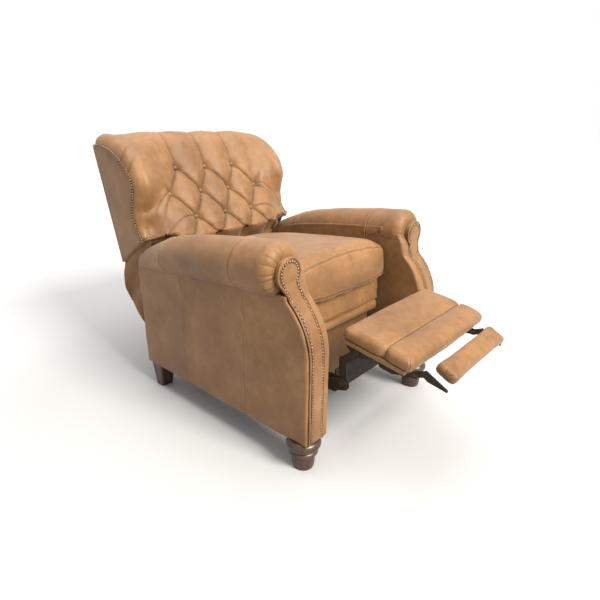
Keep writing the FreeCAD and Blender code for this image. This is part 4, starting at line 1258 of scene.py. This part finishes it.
def tufting(x, height):
    """How far the leather is drawn in at each place of the face, and the painted shade in its
    creases.
    """
    p = x / BUTTON_PITCH
    q = np.clip((BUTTON_ROWS[0][0] - height) / ROW_PITCH, 0, 3)
    first, second = p - q / 2, p + q / 2
    bulge = (np.abs(np.sin(math.pi * first)) * np.abs(np.sin(math.pi * second))) ** 0.5
    per_metre = math.hypot(1 / BUTTON_PITCH, 1 / (2 * ROW_PITCH))
    gap_first = np.abs(first - np.round(first)) / per_metre
    gap_second = np.abs(second - np.round(second)) / per_metre
    near = np.minimum(gap_first, gap_second)
    inside = 1 - smooth_step(np.abs(x), 0.205, 0.250)
    drawn = TUFT_DEPTH * (1 - bulge) * inside + 0.0035 * np.exp(-near / 0.0035) * inside
    # Painted shade along the diagonal folds between the buttons, and round each button below.
    crease_shade = 0.85 * np.exp(-near / 0.0020) * inside
    for row_height, places in BUTTON_ROWS:
        for place in places:
            away = np.hypot(x - place * BUTTON_PITCH, height - row_height)
            drawn = drawn + 0.010 * np.exp(-(away / 0.017) ** 2)
            crease_shade = np.maximum(crease_shade, 0.55 * np.exp(-(away / 0.012) ** 2))
    return pleated(x, height, drawn, crease_shade)


def back_levels():
    """Where the grid's rows lie, counted in points of MIDDLE_LINE, close at its fold."""
    return np.r_[np.linspace(0, 1.9, 26, endpoint=False),
                 np.linspace(1.9, 3.1, 40, endpoint=False),
                 np.linspace(3.1, LAST_LEVEL, 200)]


def at_levels(levels, first, line):
    """Places at those levels on a line that runs from the level first to the last."""
    return read_off(line, np.linspace(first, LAST_LEVEL, len(line)), levels)


def across_the_back():
    """ACROSS_LINE on both sides, evenly spaced: rows of x, share and set back."""
    half = spline(ACROSS_LINE, 900)
    run = distances_along(half * (1, 0.06, 1))
    half = read_off(half, run, np.linspace(0, run[-1], 170))
    both = np.concatenate([half[:0:-1] * (-1, 1, 1), half])
    return both.T[:, None, :]


def untufted_back(levels, middle):
    """The back's points before tufting: its middle, its wings and the fold between."""
    x, share, set_back = across_the_back()
    nail_line = wing_edge(0.0, 1001)
    wing = at_levels(levels, WING_LEVEL, nail_line)
    ahead = at_levels(levels, WING_LEVEL, wing_edge(1.0, 1001) - nail_line)
    full = smooth_step(levels, 3.2, 5.5)[:, None]
    rolled = 0.004 + (WING_ROLL - 0.004) * full - set_back * (0.5 + 0.5 * full)
    depth, height = (middle[:, k:k + 1] * (1 - share)
                     + (wing[:, k:k + 1] + ahead[:, k:k + 1] * rolled) * share
                     for k in (0, 1))
    wide = np.abs(x)
    above_arms = smooth_step(levels, 2.35, 3.0)[:, None]
    tucked_depth = middle[:, :1] + 0.008 + 0.11 * (wide - NECK_HALF) / 0.133
    tucked_height = np.minimum(middle[:, 1:], 0.030)
    depth = np.where(wide > NECK_HALF,
                     depth * above_arms + tucked_depth * (1 - above_arms), depth)
    height = np.where(wide > NECK_HALF,
                      height * above_arms + tucked_height * (1 - above_arms), height)
    outer = smooth_step(wide, NECK_HALF, 0.262)
    held_in = np.minimum(wide, ARM_GAP - 0.004 * (1 - outer))
    wide = wide * above_arms + held_in * (1 - above_arms)
    depth = np.minimum(depth, 0.1715)
    return x, np.stack([np.sign(x) * wide, depth, height * np.ones_like(wide)], axis=2)


def back_surface():
    """The whole inner back as one grid of points, tufted, with the painted shade in its
    creases.
    """
    levels = back_levels()
    middle = at_levels(levels, 0, spline(MIDDLE_LINE, 1301))
    x, grid = untufted_back(levels, middle)
    drawn, crease_shade = tufting(x, middle[:, 1:])
    over = smooth_step(levels, 10.6, 12.3)[:, None]
    below = smooth_step(levels, 0.2, 1.4)[:, None]
    drawn = drawn * (1 - 0.85 * over) * below
    crease_shade = crease_shade * (1 - 0.5 * over) * below
    drawn = drawn - 0.0018 * lumps(grid, 0.13, 71) - 0.0008 * lumps(grid, 0.05, 72)
    normal = grid_normals(grid)
    length = np.linalg.norm(normal, axis=2, keepdims=True)
    normal /= np.maximum(length, 1e-12)
    grid = grid - normal * drawn[..., None]
    hem = np.stack([grid[-1, :, 0] * 0.992, np.full(len(x[0]), 0.1700),
                    np.full(len(x[0]), 0.396)], axis=1)
    grid = np.concatenate([grid, hem[None]])
    crease_shade = np.concatenate([crease_shade, crease_shade[-1:]])
    return grid, normal, crease_shade, x[0], levels, middle[:, 1]


def make_inner_back():
    """The tufted back and wings with their covered buttons."""
    grid, normal, crease_shade, x, levels, height = back_surface()
    piece = shell("tufted_back_cover", leaned(grid), 0.006, (0, -1, 0), crease_shade)
    leather(piece, "back", "back_pad", "wing_pad_left", "wing_pad_right", fill=0.75)
    domes = []
    for row_height, places in BUTTON_ROWS:
        row = int(np.argmin(np.abs(height - row_height) + (levels > 12.4)))
        for place in places:
            column = int(np.argmin(np.abs(x - place * BUTTON_PITCH)))
            place = grid[row, column] + normal[row, column] * 0.0075
            domes.append(dome(place, normal[row, column], 0.0082, BUTTON_PROFILE, 20))
    verts, faces = merged(domes)
    leather(mesh_object("tuft_button_covers", leaned(verts), faces), "back", "tuft_buttons")


def outside_wing_surface():
    """The flat outside of a wing, and the front edge that its welt follows."""
    front = wing_edge(-0.0145, 110)
    front = front[front[:, 0] < 0.150]
    v, s = shares(len(front), 90)
    rear_height = BACK_LOW + v * (BACK_HIGH - BACK_LOW)
    depth = front[:, :1] * (1 - s) + (BACK_DEPTH - 0.0005) * s
    height = front[:, 1:] * (1 - s) + rear_height * s
    edge = rounded_rim(np.minimum(np.minimum(s, 1 - s) * 0.16 / 0.006,
                                  np.minimum(v, 1 - v) * 0.4 / 0.008))
    grid = np.stack([np.zeros_like(depth), depth, height], axis=2)
    grid[..., 0] = (BACK_OUTER - 0.004 * (1 - edge) + 0.0012 * lumps(grid, 0.14, 81)
                    + 0.003 * np.sin(v * math.pi) * np.sin(s * math.pi))
    return grid, front


def make_outside_wings():
    """The outsides of the wings, their nail heads and welts."""
    grid, front = outside_wing_surface()
    for side, sign in SIDES:
        piece = shell("outside_wing_cover_" + side, on_side(sign, leaned(grid)), 0.011,
                      (sign, 0, 0))
        leather(piece, "back", "outside_wing_" + side, fill=0.4)
        line = evenly(wing_edge(-0.009, 200), NAIL_PITCH)
        line = np.column_stack([np.full(len(line), BACK_OUTER - 0.001), line])[1:-1]
        heads = nail_heads(on_side(sign, leaned(line)), (sign, 0, 0))
        leather(mesh_object("wing_nail_heads_" + side, *heads), "back", "wing_nails",
                material=NAIL)
        path = np.column_stack([np.full(len(front), BACK_OUTER - 0.0005), front])
        leather(welt("outside_wing_welt_" + side, on_side(sign, leaned(path)), 0.0030),
                "back")


def make_wing_undersides():
    """Leather drawn under each wing, from its foot back to its heel, over the arm."""
    s = np.linspace(0, 1, 60)[:, None]
    x = np.linspace(ARM_GAP - 0.002, BACK_OUTER - 0.004, 50)[None, :]
    outward = (x - x.min()) / (x.max() - x.min())
    front = -0.022 + 0.010 * outward
    depth = front + (0.170 - front) * s
    fall = np.sin(np.clip(s * 6, 0, 1) * math.pi / 2)
    height = 0.046 - 0.006 * fall - 0.064 * s - 0.006 * np.sin(outward * math.pi) * fall
    grid = np.stack([np.broadcast_to(x, depth.shape), depth, height], axis=2).copy()
    grid[..., 2] += 0.0016 * lumps(grid, 0.06, 85)
    for side, sign in SIDES:
        piece = shell("wing_underside_" + side, on_side(sign, leaned(grid)), 0.005,
                      (0, 0, -1))
        leather(piece, "back", fill=0.3)


def outside_back_surface(half):
    """The panel across the back, with round upper corners and a soft rim."""
    v, s = shares(90, 130, -1)
    x = s * half * np.ones_like(v)
    height = BACK_LOW + v * (BACK_HIGH - BACK_LOW) + 0 * s
    height = height - v ** 8 * 0.014 * (1 - rounded_rim((half - np.abs(x)) / 0.030))
    edge = rounded_rim(np.minimum((1 - np.abs(s)) * half / 0.008,
                                  np.minimum(v, 1 - v) * 0.43 / 0.008))
    grid = np.stack([x, np.zeros_like(x), height], axis=2)
    grid[..., 1] = (BACK_DEPTH - 0.002 + 0.004 * edge + 0.0018 * lumps(grid, 0.2, 91)
                    + 0.004 * (1 - s ** 2) * np.sin(v * math.pi))
    return grid


def make_outside_back():
    """The outside back, with a welt up its sides and over its top."""
    half = BACK_OUTER - 0.003
    grid = outside_back_surface(half)
    rows, cols = grid.shape[:2]
    piece = shell("outside_back_cover", leaned(grid), 0.010, (0, 1, 0))
    leather(piece, "back", "outside_back_panel", fill=0.4)
    up = np.column_stack([np.full(rows, half), np.full(rows, BACK_DEPTH + 0.0005),
                          grid[:, -1, 2]])
    over = np.column_stack([grid[-1, ::-1, 0], np.full(cols, BACK_DEPTH - 0.0005),
                            grid[-1, ::-1, 2] + 0.001])
    down = up[::-1] * (-1, 1, 1)
    path = np.concatenate([up, over[1:-1], down])
    leather(welt("outside_back_welt", leaned(path), 0.0030), "back")


def make_gusset(side, sign, fall, v):
    """The folded triangle of leather that closes one side of the skirt."""
    inner = spline([(0.350, 0.588), (0.385, 0.480), (0.412, 0.370), (0.414, 0.258)],
                   len(fall))
    t = np.linspace(0, 1, 44)[None, :]
    flat = fall[:, None] * (1 - t[..., None]) + inner[:, None] * t[..., None]
    fold = np.sin(v * math.pi) * np.sin(t * math.pi)
    x = 0.3575 - 0.030 * fold * (1 - v) + 0.006 * np.sin(v * 9 + t * 4) - 0.012 * t
    gusset = np.concatenate([x[..., None], flat], axis=2)
    finish_skirt(shell("rear_gusset_" + side, on_side(sign, gusset), 0.003, (sign, 0, 0)))


def make_skirt():
    """Soft leather from the foot of the outside back to the base, with side gussets."""
    fall = spline([(0.505, 0.482), (0.523, 0.430), (0.534, 0.375), (0.512, 0.345),
                   (0.462, 0.298), (0.417, 0.258)], 60)
    v, s = shares(len(fall), 120, -1)
    x = s * (0.362 - 0.006 * v)
    y = fall[:, :1] + 0.004 * (1 - s ** 2) * np.sin(v * math.pi)
    grid = np.stack([x, y + 0 * s, fall[:, 1:] + 0 * s], axis=2)
    grid[..., 1] += 0.0035 * lumps(grid, 0.12, 101) * np.sin(v * math.pi)
    finish_skirt(shell("rear_skirt_cover", grid, 0.003, (0, 1, 0)), "rear_skirt")
    for side, sign in SIDES:
        make_gusset(side, sign, fall, v)


def finish_skirt(piece, *replaced):
    """Skirt leather in tan, hiding the CAD nodes it stands for, baked in place on no body."""
    leather(piece, None, *replaced)
    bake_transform(piece)


def make_back():
    make_inner_back()
    make_outside_wings()
    make_wing_undersides()
    make_outside_back()
    make_skirt()


# ---------------------------------------------------------------- stage
def area_light(name, place, target, size, power, colour):
    """A square lamp that shines at the target."""
    data = bpy.data.lights.new(name, "AREA")
    data.shape = "SQUARE"
    data.size = size
    data.energy = power
    data.color = colour
    lamp = bpy.data.objects.new(name, data)
    lamp.location = place
    lamp.rotation_mode = "QUATERNION"
    lamp.rotation_quaternion = (Vector(target) - Vector(place)).to_track_quat("-Z", "Y")
    bpy.context.scene.collection.objects.link(lamp)


def make_stage():
    """The pale floor, the white surroundings and two soft lamps."""
    data = bpy.data.meshes.new("floor")
    data.from_pydata([(-1, -1, 0), (1, -1, 0), (1, 1, 0), (-1, 1, 0)], [], [(0, 1, 2, 3)])
    floor = bpy.data.objects.new("floor", data)
    floor.scale = (FLOOR_REACH, FLOOR_REACH, 1)
    bpy.context.scene.collection.objects.link(floor)
    material, tree, shader = new_material("pale_floor")
    away = add(tree, "ShaderNodeVectorMath")
    away.operation = "LENGTH"
    tree.links.new(object_coordinates(tree), away.inputs[0])
    # Painted shade: the floor is grey near the chair and whitens with distance, to offset the
    # key lamp's falloff.
    colour = ramp(tree, away.outputs["Value"],
                  [(metres / FLOOR_REACH, (grey,) * 3) for metres, grey in FLOOR_GREYS])
    tree.links.new(colour, shader.inputs["Base Color"])
    shader.inputs["Roughness"].default_value = 0.85
    data.materials.append(material)
    world = bpy.data.worlds.new("studio")
    world.use_nodes = True
    background = world.node_tree.nodes["Background"]
    background.inputs["Color"].default_value = (1, 1, 1, 1)
    background.inputs["Strength"].default_value = 1.0
    bpy.context.scene.world = world
    bpy.context.scene.view_settings.view_transform = "Standard"
    target = (0, 0, 0.5)
    area_light("key", (-0.3, -5.0, 4.2), target, 2.3, 980, (1.0, 0.95, 0.88))
    area_light("top", (0.2, 0.2, 3.2), target, 2.4, 100, (1.0, 0.98, 0.95))


def make_camera():
    """The camera at the photo's angle."""
    azimuth, pitch, tilt = (math.radians(a) for a in (-48.86, 20.46, 0.56))
    back = Vector((math.sin(azimuth) * math.cos(pitch),
                   -math.cos(azimuth) * math.cos(pitch), math.sin(pitch)))
    right = Vector((math.cos(azimuth), math.sin(azimuth), 0))
    up = back.cross(right)
    tilted_right = right * math.cos(tilt) + up * math.sin(tilt)
    tilted_up = up * math.cos(tilt) - right * math.sin(tilt)
    data = bpy.data.cameras.new("camera")
    data.lens = 28.83
    data.sensor_width = 36.0
    data.clip_start = 0.05
    camera = bpy.data.objects.new("camera", data)
    place = Matrix((tilted_right, tilted_up, back)).transposed().to_4x4()
    place.translation = (-1.2433, MIDDLE_Y - 1.1415, 0.9848)
    camera.matrix_world = place
    bpy.context.scene.collection.objects.link(camera)
    bpy.context.scene.camera = camera


make_arms()
make_seat()
make_back()
make_footrest()
dress_nodes()
make_stage()
make_camera()
